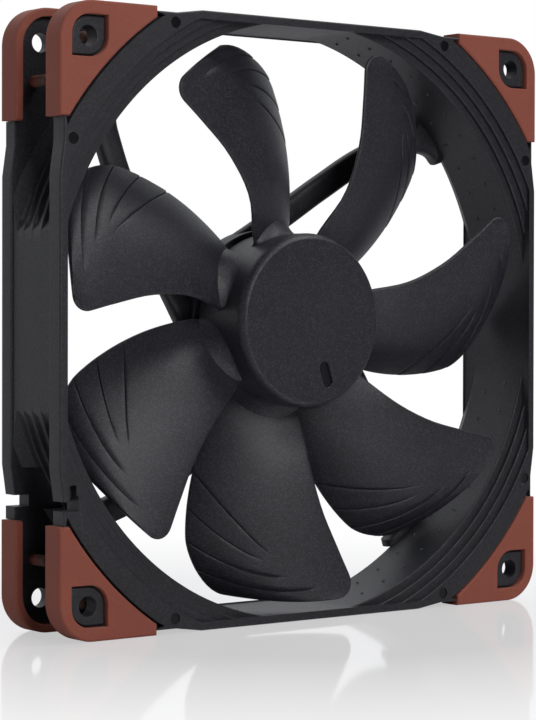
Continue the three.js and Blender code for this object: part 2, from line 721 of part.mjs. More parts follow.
// Half of the winding former: a ring, a sleeve over each arm and a wall at each arm's end.
// It covers the core from one face to the middle.
function insulator() {
  const sleeveWidth = poleArmWidth + 2 * (insulatorWall + pressFit);
  const shoeRoot = Math.sqrt((poleRadius - poleShoeThickness) ** 2 - (sleeveWidth / 2) ** 2);
  const cover = coreFront - pressFit - insulatorWall;
  const middle = coreMiddle - pressFit;
  let body = tube(coreRing + insulatorWall, coreBore, cover, coreFront - pressFit, smallSides);
  for (let k = 0; k < poleCount; k += 1) {
    const sleeve = poleBlock(k, coreRing + pressFit, shoeRoot - coilClearance, sleeveWidth, cover, middle);
    const core = poleBlock(k, 0, poleRadius, poleArmWidth + 2 * pressFit, coreFront - pressFit, coreRear);
    const wallInner = coilOuter + coilClearance;
    const wallOuter = wallInner + insulatorWall;
    const wall = poleBlock(k, wallInner, wallOuter, insulatorFlange, coilFront, coreFront - pressFit);
    body = body.add(sleeve.subtract(core)).add(wall);
  }
  return body.subtract(disc(coreRing + pressFit, coreFront - pressFit, coreRear, smallSides));
}

// The other half is the same part turned over about the core's middle.
const rearInsulator = () =>
  insulator().translate([0, -coreMiddle, 0]).rotate([180, 0, 0]).translate([0, coreMiddle, 0]);

// One winding, as the ring of copper round a pole's arm.
function coil(k) {
  const gap = insulatorWall + coilClearance;
  const outer = poleBlock(k, coilInner, coilOuter, coilWidth, coilFront, coilRear);
  const inner = poleBlock(k, 0, poleRadius, poleArmWidth + 2 * gap, coreFront - gap, coreRear + gap);
  const spread = radians(coilHalfAngle);
  const edges = [-spread, 0, spread].map((turn) => polar(fanWidth, poleAngle(k) + turn));
  const wedge = new THREE.Shape([new THREE.Vector2(0, 0), ...edges]);
  return outer.subtract(inner).intersect(slab(wedge, -fanDepth, fanDepth));
}

// ---- Circuit board ----------------------------------------------------------------------

const circuitBoard = () => tube(boardOuter, boardInner, boardFront, boardRear - pressFit, hubSides);

// A part soldered to the board's front, at one radius and a turn from its own angle.
function boardPart({ length, width, height, angle }, radius, turn = 0) {
  const rear = boardFront - pressFit;
  const body = block(radius - width / 2, radius + width / 2, rear - height, rear, -length / 2, length / 2);
  return turnAboutAxis(body, angle + turn);
}

// ---- Label ------------------------------------------------------------------------------

function label() {
  const front = baseRear + pressFit;
  return disc(baseRadius - labelMargin - padFit, front, front + labelThickness, hubSides);
}

// ---- The assembly -----------------------------------------------------------------------

const fan = new THREE.Group();
fan.add(
  piece('frame', frame(), blackPlastic),
  ...pads(),
  piece('bearing_shell', bearingShell(), brass),
  piece('bearing_sleeve', bearingSleeve(), sinteredBronze),
  piece('oil_seal', oilSeal(), nylon),
  piece('stabiliser_magnet', stabiliserMagnet(), magnetBlack),
  piece('thrust_plate', thrustPlate(), nylon),
  piece('stator_core', statorCore(), coreSteel),
  piece('insulator_front', insulator(), nylon),
  piece('insulator_rear', rearInsulator(), nylon),
  ...Array.from({ length: poleCount }, (_, k) => piece(`coil_${k + 1}`, coil(k), copper)),
  piece('circuit_board', circuitBoard(), boardGreen),
  piece('driver_chip', boardPart(chip, boardMiddle), chipBlack),
  piece('hall_sensor', boardPart(sensor, magnetRadius - magnetWall / 2), chipBlack),
  piece('capacitor_1', boardPart(capacitor, boardMiddle), ceramic),
  piece('capacitor_2', boardPart(capacitor, boardMiddle, capacitorPitch), ceramic),
  piece('rear_label', label(), labelFilm),
  piece('impeller', impeller(), bladePlastic),
  piece('rotor_yoke', rotorYoke(), yokeSteel),
  piece('ring_magnet', ringMagnet(), magnetBlack),
  piece('shaft', shaft(), steel),
  piece('retaining_clip', retainingClip(), nylon),
);

export default fan;
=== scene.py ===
"""A 140 mm case fan with silicone corner pads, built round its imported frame.

Lengths in this file are millimetres, and become metres when a mesh is made. Air enters at -Y
and leaves at +Y, and the rotor turns about the Y axis through the origin.
"""

import bpy
import numpy as np
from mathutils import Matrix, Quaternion, Vector


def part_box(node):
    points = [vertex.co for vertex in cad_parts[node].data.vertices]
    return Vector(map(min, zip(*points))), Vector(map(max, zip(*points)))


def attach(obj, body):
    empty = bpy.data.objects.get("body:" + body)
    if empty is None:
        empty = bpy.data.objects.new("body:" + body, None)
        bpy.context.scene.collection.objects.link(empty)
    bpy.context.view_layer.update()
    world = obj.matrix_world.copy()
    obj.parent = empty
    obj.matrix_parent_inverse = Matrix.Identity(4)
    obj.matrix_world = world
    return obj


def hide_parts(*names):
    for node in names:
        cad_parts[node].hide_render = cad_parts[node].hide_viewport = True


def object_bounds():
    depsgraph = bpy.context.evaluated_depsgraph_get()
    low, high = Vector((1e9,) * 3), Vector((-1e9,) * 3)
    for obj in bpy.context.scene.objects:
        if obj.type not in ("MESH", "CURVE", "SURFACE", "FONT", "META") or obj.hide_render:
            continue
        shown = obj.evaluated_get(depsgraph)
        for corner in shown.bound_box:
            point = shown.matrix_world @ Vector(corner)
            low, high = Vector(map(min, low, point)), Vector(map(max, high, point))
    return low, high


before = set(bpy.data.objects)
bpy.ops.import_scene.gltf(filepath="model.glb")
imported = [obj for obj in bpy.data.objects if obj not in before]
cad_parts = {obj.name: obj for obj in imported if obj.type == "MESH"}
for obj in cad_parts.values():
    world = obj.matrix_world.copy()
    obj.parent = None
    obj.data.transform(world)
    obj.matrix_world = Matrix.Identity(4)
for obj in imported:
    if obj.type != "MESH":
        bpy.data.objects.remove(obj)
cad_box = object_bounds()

# ---- Frame ---------------------------------------------------------------------------------
# One moulding in black glass-filled plastic: an inlet flange, an outlet flange, the round duct
# between them, four curved struts and the cup that carries the motor. Spark-eroded mould
# faces give it a fine matt grain.

MM = 0.001
frame_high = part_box("frame")[1] / MM
pad_low, pad_high = (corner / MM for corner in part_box("inlet_pad_top_right"))

SIDE = frame_high.x                 # flange side, from the axis
FACE = frame_high.y                 # flange faces, from the middle
HALF_WIDTH = pad_high.x             # outer faces of the pads
HALF_DEPTH = -pad_low.y             # faces of the pads
LEG_END = pad_low.x                 # where the pads' legs end
CORNER_ROUND = 8.75
FRONT_FLANGE = 4.7
REAR_FLANGE = 4.1
WAIST = 1.0                         # how far the sides step in beside the pads
WAIST_TAPER = 7.0
WAIST_LENGTH = 5.5
BORE = HALF_WIDTH - 0.5
BORE_FLAT = SIDE - 1.6              # the bore is cut flat at the four sides
DUCT = BORE + 2.3
DUCT_FLAT = SIDE - 0.5
STEP_RISE = 1.97                    # the three steps in each corner of the inlet
STEP_DEPTH = 0.95
FLARE = 2.7
FLARE_DEPTH = 4.4
GROOVES_OUTSIDE = ((5.9, 0.9), (3.2, 1.2), (-0.3, 1.2), (-4.0, 1.2))      # place and depth
COLLAR = 2.8                        # how far the duct flares out towards the outlet flange
PAD_PLATE = 1.8
PAD_WALL = 1.9
PAD_FIT = 0.1
PAD_ARC = np.hypot(LEG_END, HALF_WIDTH - 2.56)
RING_EDGE = PAD_ARC - 0.5           # edge of the raised ring, with a gap to the pad
HOLE_PLACE = HALF_WIDTH - 7.75
HOLE_RADIUS = 2.2
ISLAND = 8.5                        # the screw boss that shows in the pad's window
ISLAND_ROUND = 4.25
ISLAND_RECESS = 0.9
PIN_RADIUS = 1.3
PIN_NEAR = HALF_WIDTH - 6.2
PIN_FAR = HALF_WIDTH - 16.5


def shell(rows, loop=False):
    """A closed surface from a grid of points (row, column, xyz) whose columns run all round.

    The first and last rows are capped, or with loop the last row meets the first. A surface
    that came out inside out, by the sign of its volume, has its faces turned over."""
    count, columns = rows.shape[:2]
    points = rows.reshape(-1, 3)
    i = np.arange(count if loop else count - 1)[:, None]
    j = np.arange(columns)[None, :]
    here, below = i * columns, (i + 1) % count * columns
    after = (j + 1) % columns
    quads = np.stack([here + j, here + after, below + after, below + j], -1).reshape(-1, 4)
    rim = np.arange(columns)
    caps = [] if loop else [rim[::-1], rim + (count - 1) * columns]
    fans = [np.stack([np.full(columns - 2, cap[0]), cap[1:-1], cap[2:]], -1) for cap in caps]
    a, b, c = points[np.vstack([quads[:, :3], quads[:, [0, 2, 3]], *fans])].transpose(1, 0, 2)
    if np.einsum("ij,ij->", a, np.cross(b, c)) < 0:
        quads, caps = quads[:, ::-1], [cap[::-1] for cap in caps]
    return points, [*quads.tolist(), *(cap.tolist() for cap in caps)]


def build(name, shells):
    """One mesh object from closed surfaces, in metres."""
    points, faces, start = [], [], 0
    for shell_points, shell_faces in shells:
        points.append(shell_points)
        faces += [[start + k for k in face] for face in shell_faces]
        start += len(shell_points)
    mesh = bpy.data.meshes.new(name)
    mesh.from_pydata((np.vstack(points) * MM).tolist(), [], faces)
    piece = bpy.data.objects.new(name, mesh)
    bpy.context.scene.collection.objects.link(piece)
    return piece


def settle(piece):
    """Makes what the piece's modifiers give its mesh, and takes them off."""
    graph = bpy.context.evaluated_depsgraph_get()
    mesh = bpy.data.meshes.new_from_object(piece.evaluated_get(graph))
    piece.modifiers.clear()
    piece.data = mesh


def change(piece, operation, shells):
    """Joins closed surfaces to the piece (UNION) or cuts them out of it (DIFFERENCE)."""
    tool = build("tool", shells)
    step = piece.modifiers.new("change", "BOOLEAN")
    step.solver = "MANIFOLD"
    step.operation = operation
    step.object = tool
    settle(piece)
    bpy.data.objects.remove(tool)


def smooth(piece, degrees=32):
    """Smooth shading between faces that meet at less than an angle, led by the large faces."""
    piece.data.shade_smooth()
    piece.data.set_sharp_from_angle(angle=np.radians(degrees))
    weighted = piece.modifiers.new("even shading", "WEIGHTED_NORMAL")
    weighted.keep_sharp = True
    settle(piece)


def polar(radius, degrees):
    """Points at radii and angles about the axis, as (x, z) pairs."""
    turn = np.radians(degrees)
    return np.stack(np.broadcast_arrays(radius * np.cos(turn), radius * np.sin(turn)), -1)


def turn_points(points, degrees):
    """Points turned about the axis, from +X towards +Z."""
    turn = np.radians(degrees)
    x = points[..., 0] * np.cos(turn) - points[..., 2] * np.sin(turn)
    z = points[..., 0] * np.sin(turn) + points[..., 2] * np.cos(turn)
    return np.stack([x, points[..., 1], z], -1)


def turned(a_shell, degrees):
    """A closed surface turned about the axis."""
    return turn_points(a_shell[0], degrees), a_shell[1]


def stack(levels):
    """A closed surface through flat outlines of (x, z) points, each at its own Y."""
    return shell(np.stack([np.insert(outline, 1, y, axis=1) for outline, y in levels]))


def lathe(profile, sides=160, loop=False):
    """A closed surface from a profile of (radius, y) points turned about the Y axis."""
    radius, y = np.asarray(profile, float).T[:, :, None]
    turn = np.linspace(0, 2 * np.pi, sides, endpoint=False)
    rows = np.stack(np.broadcast_arrays(radius * np.cos(turn), y, radius * np.sin(turn)), -1)
    return shell(rows, loop)


def rounding(size, steps=4):
    """A quarter round of an edge: (inset from the side, depth from the face) along it."""
    turn = np.linspace(0, np.pi / 2, steps + 1)
    return [(size * (1 - np.sin(t)), size * (1 - np.cos(t))) for t in turn]


FLAT_STEPS, BEND_STEPS = 8, 24


def all_round(eighth):
    """A whole outline from its eighth between the X axis and the diagonal: the eighth, its
    mirror image over the diagonal, and that quarter turned four times."""
    quarter = np.vstack([eighth, eighth[-2:0:-1, ::-1]])
    turns = [np.array([[c, s], [-s, c]]) for c, s in ((1, 0), (0, 1), (-1, 0), (0, -1))]
    return np.vstack([quarter @ turn for turn in turns])


def cut_circle(radius, flat):
    """A circle cut flat at the four sides: a straight stretch at X = flat, then the arc."""
    reach = np.sqrt(radius**2 - flat**2)
    straight = np.stack([np.full(FLAT_STEPS, flat), np.linspace(0, reach, FLAT_STEPS, False)], -1)
    start = np.degrees(np.arctan2(reach, flat))
    return all_round(np.vstack([straight, polar(radius, np.linspace(start, 45, BEND_STEPS + 1))]))


def grooved_duct(depth):
    """The duct's outline with a groove of some depth in its corners, which starts just past
    the flats and is full within four degrees."""
    outline = cut_circle(DUCT + 0.4, DUCT_FLAT)
    turn = np.degrees(np.arctan2(outline[:, 1], outline[:, 0])) % 90
    start = np.degrees(np.arccos(DUCT_FLAT / (DUCT + 0.4)))
    share = np.clip((45 - np.abs(turn - 45) - start) / 4, 0, 1)
    shrink = depth * np.sqrt(share) / (DUCT + 0.4)
    return outline * (1 - shrink)[:, None]


def flange_outline(inset):
    """The flange: a straight side, a taper in, the step under the pad, then the round corner."""
    seat = HALF_WIDTH - PAD_WALL - PAD_FIT
    bend = CORNER_ROUND - PAD_WALL
    waist_start = LEG_END + PAD_FIT - WAIST_LENGTH
    step = LEG_END - PAD_FIT
    arc = seat - bend + polar(bend - inset, np.linspace(0, 45, 9))
    corners = [(SIDE, 0), (SIDE, waist_start - WAIST_TAPER), (SIDE - WAIST, waist_start),
               (SIDE - WAIST, step), (seat, step), (seat, seat - bend)]
    counts = (FLAT_STEPS, 6, 4, 1, 5)
    straights = [np.linspace(a, b, n, False) for a, b, n in zip(corners, corners[1:], counts)]
    straight = np.vstack(straights) - (inset, 0)
    return all_round(np.vstack([straight, arc]))


def frame_levels():
    """The frame's section, row by row: out over the inlet flange, in along its back, over the
    ribs of the duct, out and in round the outlet flange, and back up the bore and the steps."""
    front_inner, rear_inner = -FACE + FRONT_FLANGE, FACE - REAR_FLANGE
    levels = [(flange_outline(inset), -FACE + depth) for inset, depth in rounding(0.45)]
    levels += [(flange_outline(inset), front_inner - depth) for inset, depth in rounding(0.3, 2)[::-1]]
    levels.append((grooved_duct(0.9), front_inner))
    for place, depth in GROOVES_OUTSIDE[::-1]:
        levels += [(grooved_duct(share * depth), place + offset)
                   for share, offset in ((0.9, -0.35), (1, -0.1), (0.9, 0.12), (0.1, 0.42), (0, 0.6))]
    levels.append((cut_circle(DUCT + COLLAR, DUCT_FLAT), rear_inner))
    levels += [(flange_outline(inset), rear_inner + depth) for inset, depth in rounding(0.3, 2)]
    levels += [(flange_outline(inset), FACE - depth) for inset, depth in rounding(0.45)[::-1]]
    levels += [(cut_circle(BORE + FLARE + inset, BORE_FLAT - inset), FACE - depth)
               for inset, depth in rounding(0.35)]
    for share in (0.7, 0.45, 0.2, 0):
        depth = 0.35 + (FLARE_DEPTH - 0.35) * (1 - share) ** 0.8
        levels.append((cut_circle(BORE + FLARE * share, BORE_FLAT), FACE - depth))
    levels += [(cut_circle(BORE, BORE_FLAT), y) for y in (5, 0, -5)]
    for step in range(4):
        edge = -FACE + (3 - step) * STEP_DEPTH
        radius = BORE + step * STEP_RISE
        levels += [(cut_circle(radius + inset, BORE_FLAT - inset * (step == 3)), edge + depth)
                   for inset, depth in rounding(0.32)[::-1]]
        if step < 3:
            levels.append((cut_circle(radius + STEP_RISE, BORE_FLAT), edge - 0.04))
    return levels


housing_frame = build("frame_moulding", [shell(
    np.stack([np.insert(outline, 1, y, axis=1) for outline, y in frame_levels()]), loop=True)])


def corner_outline(half, bend, arc_radius, end):
    """The corner outside a circle about the axis, between two straight ends, counter-clockwise."""
    start = np.degrees(np.arctan2(np.sqrt(arc_radius**2 - end**2), end))
    arc = polar(arc_radius, np.linspace(start, 90 - start, 49))
    corner = half - bend + polar(bend, np.linspace(0, 90, 17))
    return np.vstack([arc, [(half, end)], corner, [(end, half)]])


def island_outline(grow):
    """The screw boss: a square with two opposite corners round, made larger by a gap."""
    half, bend = ISLAND / 2 + grow, ISLAND_ROUND + grow
    outer = HOLE_PLACE + half - bend + polar(bend, np.linspace(0, 90, 13))
    inner = HOLE_PLACE - half + bend + polar(bend, np.linspace(180, 270, 13))
    low, high = HOLE_PLACE - half, HOLE_PLACE + half
    return np.vstack([[(high, low)], outer, [(low, high)], inner])


def pin(x, z, profile):
    """A round pin or hole along Y: (radius, y) points, closed by its ends."""
    points, faces = lathe(profile, 32)
    return points + (x, 0, z), faces


def corners_of(a_shell):
    """The same closed surface at the four corners."""
    return [turned(a_shell, 90 * k) for k in range(4)]


def both_faces(make):
    """A shape at the inlet face and at the outlet face; make takes a sign for the side."""
    return [a_shell for side in (-1, 1) for a_shell in corners_of(make(side))]


SEAT_FLOOR = HALF_DEPTH - PAD_PLATE - PAD_FIT
PAST = 2                            # how far a cutting shape reaches beyond the piece
seat = corner_outline(HALF_WIDTH + PAST, CORNER_ROUND, RING_EDGE, LEG_END - PAD_FIT)

# Past the end of each pad's leg the seat runs out in a small three-sided notch.
RUN_OUT_INNER, RUN_OUT_POINT, RUN_OUT_OUTER = HALF_WIDTH - 3.15, HALF_WIDTH - 1.95, HALF_WIDTH - 1.38
RUN_OUT_LENGTH = 2.1
run_out = np.array([(RUN_OUT_INNER, LEG_END), (RUN_OUT_POINT, LEG_END - RUN_OUT_LENGTH),
                    (RUN_OUT_OUTER, LEG_END)])


def seat_cut(outline, side):
    """What is cut away behind a pad: an outline from the seat's floor out past the face."""
    return stack([(outline, side * SEAT_FLOOR), (outline, side * (HALF_DEPTH + PAST))])


for outline in (seat, run_out, run_out[::-1, ::-1]):
    change(housing_frame, "DIFFERENCE", both_faces(lambda side: seat_cut(outline, side)))

ISLAND_TOP = HALF_DEPTH - ISLAND_RECESS
change(housing_frame, "UNION", both_faces(lambda side: stack(
    [(island_outline(0), side * (SEAT_FLOOR - 0.6)), (island_outline(0), side * (SEAT_FLOOR + 0.3))]
    + [(island_outline(-inset), side * (ISLAND_TOP - depth)) for inset, depth in rounding(0.4)[::-1]])))

HOLE_EDGE = 0.35                    # the screw hole's rounded edge
hole_end = np.array([(HOLE_RADIUS + HOLE_EDGE, HALF_DEPTH + 1), (HOLE_RADIUS + HOLE_EDGE, ISLAND_TOP),
                     (HOLE_RADIUS + 0.1, ISLAND_TOP - 0.1), (HOLE_RADIUS, ISLAND_TOP - HOLE_EDGE)])
hole = np.vstack([hole_end * (1, -1), hole_end[::-1]])
pin_hole = [(PIN_RADIUS + PAD_FIT, -HALF_DEPTH), (PIN_RADIUS + PAD_FIT, HALF_DEPTH)]
change(housing_frame, "DIFFERENCE", corners_of(pin(HOLE_PLACE, HOLE_PLACE, hole))
       + corners_of(pin(PIN_NEAR, PIN_FAR, pin_hole)) + corners_of(pin(PIN_FAR, PIN_NEAR, pin_hole)))

# Shallow round marks of the ejector pins on the raised ring.
EJECTOR_PLACES = ((66.6, 39.7), (39.7, 66.6))
EJECTOR_DEPTH = 0.25
EJECTOR_RADIUS = 1.3
ejector = [(EJECTOR_RADIUS, -FACE - 1), (EJECTOR_RADIUS, -FACE + EJECTOR_DEPTH)]
change(housing_frame, "DIFFERENCE",
       [mark for x, z in EJECTOR_PLACES for mark in corners_of(pin(x, z, ejector))])

# The cable outlet on the left side: a slot in each flange, a window in the duct, and a hook.
NOTCH = LEG_END - 4.3
SLOT_END = SIDE - 4.7


def box_shell(x0, x1, y0, y1, z0, z1):
    """A plain block between two corners."""
    outline = np.array([(x0, z0), (x1, z0), (x1, z1), (x0, z1)], float)
    return stack([(outline, y0), (outline, y1)])


window_low = -NOTCH - 2.1
window_front = FACE - REAR_FLANGE - 6.5
for cut in (
    box_shell(-HALF_WIDTH - 2, -SLOT_END, window_front, HALF_DEPTH + 2, -NOTCH - 1.3, -NOTCH + 1.3),
    box_shell(-HALF_WIDTH - 2, -SLOT_END, -HALF_DEPTH - 2, window_front + 0.1, -NOTCH - 1.05, -NOTCH + 1.05),
    box_shell(-SLOT_END - 2.4, -SLOT_END, -HALF_DEPTH - 2, -FACE + 3, -NOTCH - 1.05, -NOTCH + 4.55),
    box_shell(-HALF_WIDTH - 2, 2 - np.sqrt(BORE**2 - window_low**2), window_front + 3.9,
              FACE - REAR_FLANGE, window_low, window_low + 9.5),
):
    change(housing_frame, "DIFFERENCE", [cut])

# Struts: bars with a rounded section, swept along a curve that turns round the axis inwards.
STRUT_WIDTH, STRUT_DEPTH = 6.2, 4.1
STRUT_ROOT, STRUT_SWEEP = 41, 69
STRUT_BENDS = np.array([(0, 0), (0.36, 0.13), (0.64, 0.265), (0.87, 0.5), (1, 1)])
HUB_RADIUS = 20.4
BASE_RADIUS = HUB_RADIUS + 1.1
BASE_FRONT = FACE - 5.7


def curve_through(points, places):
    """Points along a smooth curve (Catmull-Rom, evenly spaced knots) at places from 0 to 1."""
    last = len(points) - 1
    spot = np.clip(places, 0, 0.99999) * last
    k = spot.astype(int)
    t = (spot - k)[..., None] if np.ndim(points) > 1 else spot - k
    before, a, b, after = (points[np.clip(k + d, 0, last)] for d in (-1, 0, 1, 2))
    leave, arrive = (b - before) / 2, (after - a) / 2
    cubic = 2 * a - 2 * b + leave + arrive
    square = 3 * b - 3 * a - 2 * leave - arrive
    return cubic * t**3 + square * t**2 + leave * t + a


inward = BORE + FLARE + (BASE_RADIUS - STRUT_WIDTH / 2 - BORE - FLARE) * STRUT_BENDS[:, 0]
STRUT_KNOTS = polar(inward, STRUT_ROOT + STRUT_SWEEP * STRUT_BENDS[:, 1])


def strut(places, width, front, rear, power):
    """A bar along the strut's curve, whose section is a superellipse between two depths.

    Near the duct it widens by a fillet on both sides and grows deeper, as a cast root does."""
    line = curve_through(STRUT_KNOTS, places)
    along = np.gradient(line, axis=0)
    across = np.stack([-along[:, 1], along[:, 0]], -1) / np.hypot(*along.T)[:, None]
    into = np.clip((ROOT_LENGTH - (BORE + 1 - np.hypot(*line.T))) / ROOT_LENGTH, 0, 1)[:, None]
    turn = np.linspace(0, 2 * np.pi, 44, endpoint=False)
    u = np.sign(np.cos(turn)) * np.abs(np.cos(turn)) ** (2 / power)
    v = (1 + np.sign(np.sin(turn)) * np.abs(np.sin(turn)) ** (2 / power)) / 2
    half = width / 2 + ROOT_FLARE * (1 - np.sqrt(1 - into**2))
    lowest = front - ROOT_STEP * np.sqrt(into)
    flat = line[:, None, :] + across[:, None, :] * (u * half)[..., None]
    return shell(np.stack([flat[..., 0], lowest + (rear - lowest) * v, flat[..., 1]], -1))


def along_strut(start, end, steps):
    """Places along the strut, closer together near its root."""
    return start + (end - start) * np.linspace(0, 1, steps) ** 1.6


ROOT_LENGTH, ROOT_FLARE, ROOT_STEP = 8.0, 5.0, 1.3
spider = build("spider", corners_of(
    strut(along_strut(0, 1, 72), STRUT_WIDTH, FACE - STRUT_DEPTH, FACE, 3.2)))
change(spider, "DIFFERENCE", [lathe([(BASE_RADIUS - 0.5, -1), (BASE_RADIUS - 0.5, HALF_DEPTH + 1)])])
cable_channel = strut(np.linspace(0.12, 0.82, 48), 2.6, FACE - STRUT_DEPTH / 2, HALF_DEPTH + 2, 12)
change(spider, "DIFFERENCE", [turned(cable_channel, 180)])

# The motor cup, with its ledge for the circuit board and its seat for the bearing.
BASE_REAR = FACE - 0.4
BASE_INSIDE = BASE_REAR - 1.6
BOARD_REAR = BASE_INSIDE - 1.9
bearing_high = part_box("bearing_shell")[1] / MM
SEAT_BORE = bearing_high.x + 0.05
SEAT_WALL, SEAT_HEIGHT = 1.5, 2.8
CUP_WALL, LEDGE = 1.6, 3.8          # the cup's wall, and the board's ledge inwards from its outside
cup = [(0.4, bearing_high.y + 0.05), (SEAT_BORE, bearing_high.y + 0.05)]
cup += [(SEAT_BORE, BASE_INSIDE - SEAT_HEIGHT), (SEAT_BORE + SEAT_WALL, BASE_INSIDE - SEAT_HEIGHT)]
cup += [(SEAT_BORE + SEAT_WALL, BASE_INSIDE), (BASE_RADIUS - LEDGE, BASE_INSIDE)]
cup += [(BASE_RADIUS - LEDGE, BOARD_REAR), (BASE_RADIUS - CUP_WALL, BOARD_REAR)]
cup += [(BASE_RADIUS - CUP_WALL, BASE_FRONT)]
cup += [(BASE_RADIUS - inset, BASE_FRONT + depth) for inset, depth in rounding(0.35)]
cup += [(BASE_RADIUS - inset, FACE - depth) for inset, depth in rounding(0.7)[::-1]]
cup += [(BASE_RADIUS - 2.6 + inset, FACE - depth) for inset, depth in rounding(0.2, 2)]
cup += [(BASE_RADIUS - 2.6, BASE_REAR), (0.4, BASE_REAR)]
change(spider, "UNION", [lathe(cup)])
change(housing_frame, "UNION", [((np.array([v.co for v in spider.data.vertices]) / MM),
                                 [list(p.vertices) for p in spider.data.polygons])])
bpy.data.objects.remove(spider)

# Two staggered rows of small raised ticks on the duct's wall, in the four corners.
MARK_PITCH = 5.88
MARK_ROWS = ((-3.4, 0.35), (3.7, 0.0))
mark_turns = [(row_y, 45 + MARK_PITCH * (k + shift)) for row_y, shift in MARK_ROWS for k in range(-5, 6)]


def wall_tick(y, degrees):
    """A low three-sided pyramid on the bore: its base in the wall, its point off centre."""
    corners = np.array([(BORE + 0.25, -0.75, -0.85), (BORE + 0.25, 0.9, 0.1), (BORE + 0.25, -0.75, 0.85),
                        (BORE - 0.42, -0.45, 0)]) + (0, y, 0)
    return turn_points(corners, degrees), [[0, 1, 2], [0, 3, 1], [1, 3, 2], [2, 3, 0]]


change(housing_frame, "UNION",
       [tick for y, degrees in mark_turns for tick in corners_of(wall_tick(y, degrees))])
smooth(housing_frame)


def add(tree, kind, inputs=(), **settings):
    """A shader node with its settings made, and each input set to a value or linked to an output."""
    made = tree.nodes.new("ShaderNode" + kind)
    for name, value in settings.items():
        setattr(made, name, value)
    for name, value in dict(inputs).items():
        if isinstance(value, bpy.types.NodeSocket):
            tree.links.new(value, made.inputs[name])
        else:
            made.inputs[name].default_value = value
    return made


def effect(name, inputs, outputs):
    """An empty shader node group with number inputs (with their defaults) and number outputs."""
    group = bpy.data.node_groups.new(name, "ShaderNodeTree")
    for label, value in inputs.items():
        socket = group.interface.new_socket(label, in_out="INPUT", socket_type="NodeSocketFloat")
        socket.default_value = value
    for label in outputs:
        group.interface.new_socket(label, in_out="OUTPUT", socket_type="NodeSocketFloat")
    return group, group.nodes.new("NodeGroupInput"), group.nodes.new("NodeGroupOutput")


# Fine grain of a spark-eroded mould: two sizes of noise for the height, a slow drift over
# tens of millimetres, and the pale specks of glass fibre near the surface.
grain, grain_in, grain_out = effect("mould grain", {"Grain size": 0.35, "Speck share": 0.1},
                                    ("Height", "Drift", "Specks"))
where = add(grain, "TexCoord").outputs["Object"]
per_metre = add(grain, "Math", {0: 1000.0, 1: grain_in.outputs["Grain size"]}, operation="DIVIDE").outputs[0]
fine = add(grain, "TexNoise", {"Vector": where, "Scale": per_metre, "Detail": 3.0, "Roughness": 0.6})
drift = add(grain, "TexNoise", {"Vector": where, "Scale": 45.0, "Detail": 2.0})
speck_scale = add(grain, "Math", {0: per_metre, 1: 0.8}, operation="MULTIPLY").outputs[0]
cells = add(grain, "TexVoronoi", {"Vector": where, "Scale": speck_scale, "Randomness": 1.0})
chosen = add(grain, "SeparateColor", {"Color": cells.outputs["Color"]})
limit = add(grain, "Math", {0: 1.0, 1: grain_in.outputs["Speck share"]}, operation="SUBTRACT").outputs[0]
specks = add(grain, "Math", {0: chosen.outputs["Red"], 1: limit}, operation="GREATER_THAN")
grain.links.new(fine.outputs["Fac"], grain_out.inputs["Height"])
grain.links.new(drift.outputs["Fac"], grain_out.inputs["Drift"])
grain.links.new(specks.outputs[0], grain_out.inputs["Specks"])


def mixed(tree, share, low, high):
    """A colour between two others (colours or outputs) by a share."""
    mix = add(tree, "Mix", {0: share, 6: low, 7: high}, data_type="RGBA")
    return mix.outputs[2]


def ranged(tree, value, low, high, from_low=0.0, from_high=1.0):
    """A number carried from one range to another."""
    spread = {"Value": value, "From Min": from_low, "From Max": from_high, "To Min": low, "To Max": high}
    return add(tree, "MapRange", spread).outputs["Result"]


# Rings about the axis, as a lathe or a winding leaves them, with the radius and the depth of
# a place in millimetres.
rings, rings_in, rings_out = effect("turned rings", {"Pitch": 0.2}, ("Rings", "Radius", "Length"))
place = add(rings, "SeparateXYZ", {"Vector": add(rings, "TexCoord").outputs["Object"]})
squares = [add(rings, "Math", {0: place.outputs[axis], 1: 2.0}, operation="POWER").outputs[0]
           for axis in "XZ"]
both_squares = add(rings, "Math", {0: squares[0], 1: squares[1]}).outputs[0]
radius = add(rings, "Math", {0: both_squares}, operation="SQRT").outputs[0]
radius_mm = add(rings, "Math", {0: radius, 1: 1000.0}, operation="MULTIPLY").outputs[0]
length_mm = add(rings, "Math", {0: place.outputs["Y"], 1: 1000.0}, operation="MULTIPLY").outputs[0]
spread = add(rings, "Math", {0: radius_mm, 1: length_mm}, operation="ADD").outputs[0]
turns = add(rings, "Math", {0: spread, 1: rings_in.outputs["Pitch"]}, operation="DIVIDE").outputs[0]
angle = add(rings, "Math", {0: turns, 1: 2 * np.pi}, operation="MULTIPLY").outputs[0]
wave = ranged(rings, add(rings, "Math", {0: angle}, operation="SINE").outputs[0], 0, 1, -1, 1)
rings.links.new(wave, rings_out.inputs["Rings"])
rings.links.new(radius_mm, rings_out.inputs["Radius"])
rings.links.new(length_mm, rings_out.inputs["Length"])


def new_finish(name, **constants):
    """A material with its Principled shader's constants set."""
    material = bpy.data.materials.new(name)
    material.use_nodes = True
    tree = material.node_tree
    surface = tree.nodes["Principled BSDF"]
    for label, value in constants.items():
        surface.inputs[label.replace("_", " ")].default_value = value
    return material, tree, surface


def place_group(tree, group, **values):
    """A node that places an effect in a material with the material's own values."""
    made = tree.nodes.new("ShaderNodeGroup")
    made.node_tree = group
    for label, value in values.items():
        made.inputs[label.replace("_", " ")].default_value = value
    return made


def bump(tree, surface, height, distance, strength=1.0):
    """Relief on the surface, from a height between 0 and 1 over a distance in millimetres."""
    relief = add(tree, "Bump", {"Height": height, "Distance": distance * MM, "Strength": strength})
    tree.links.new(relief.outputs["Normal"], surface.inputs["Normal"])


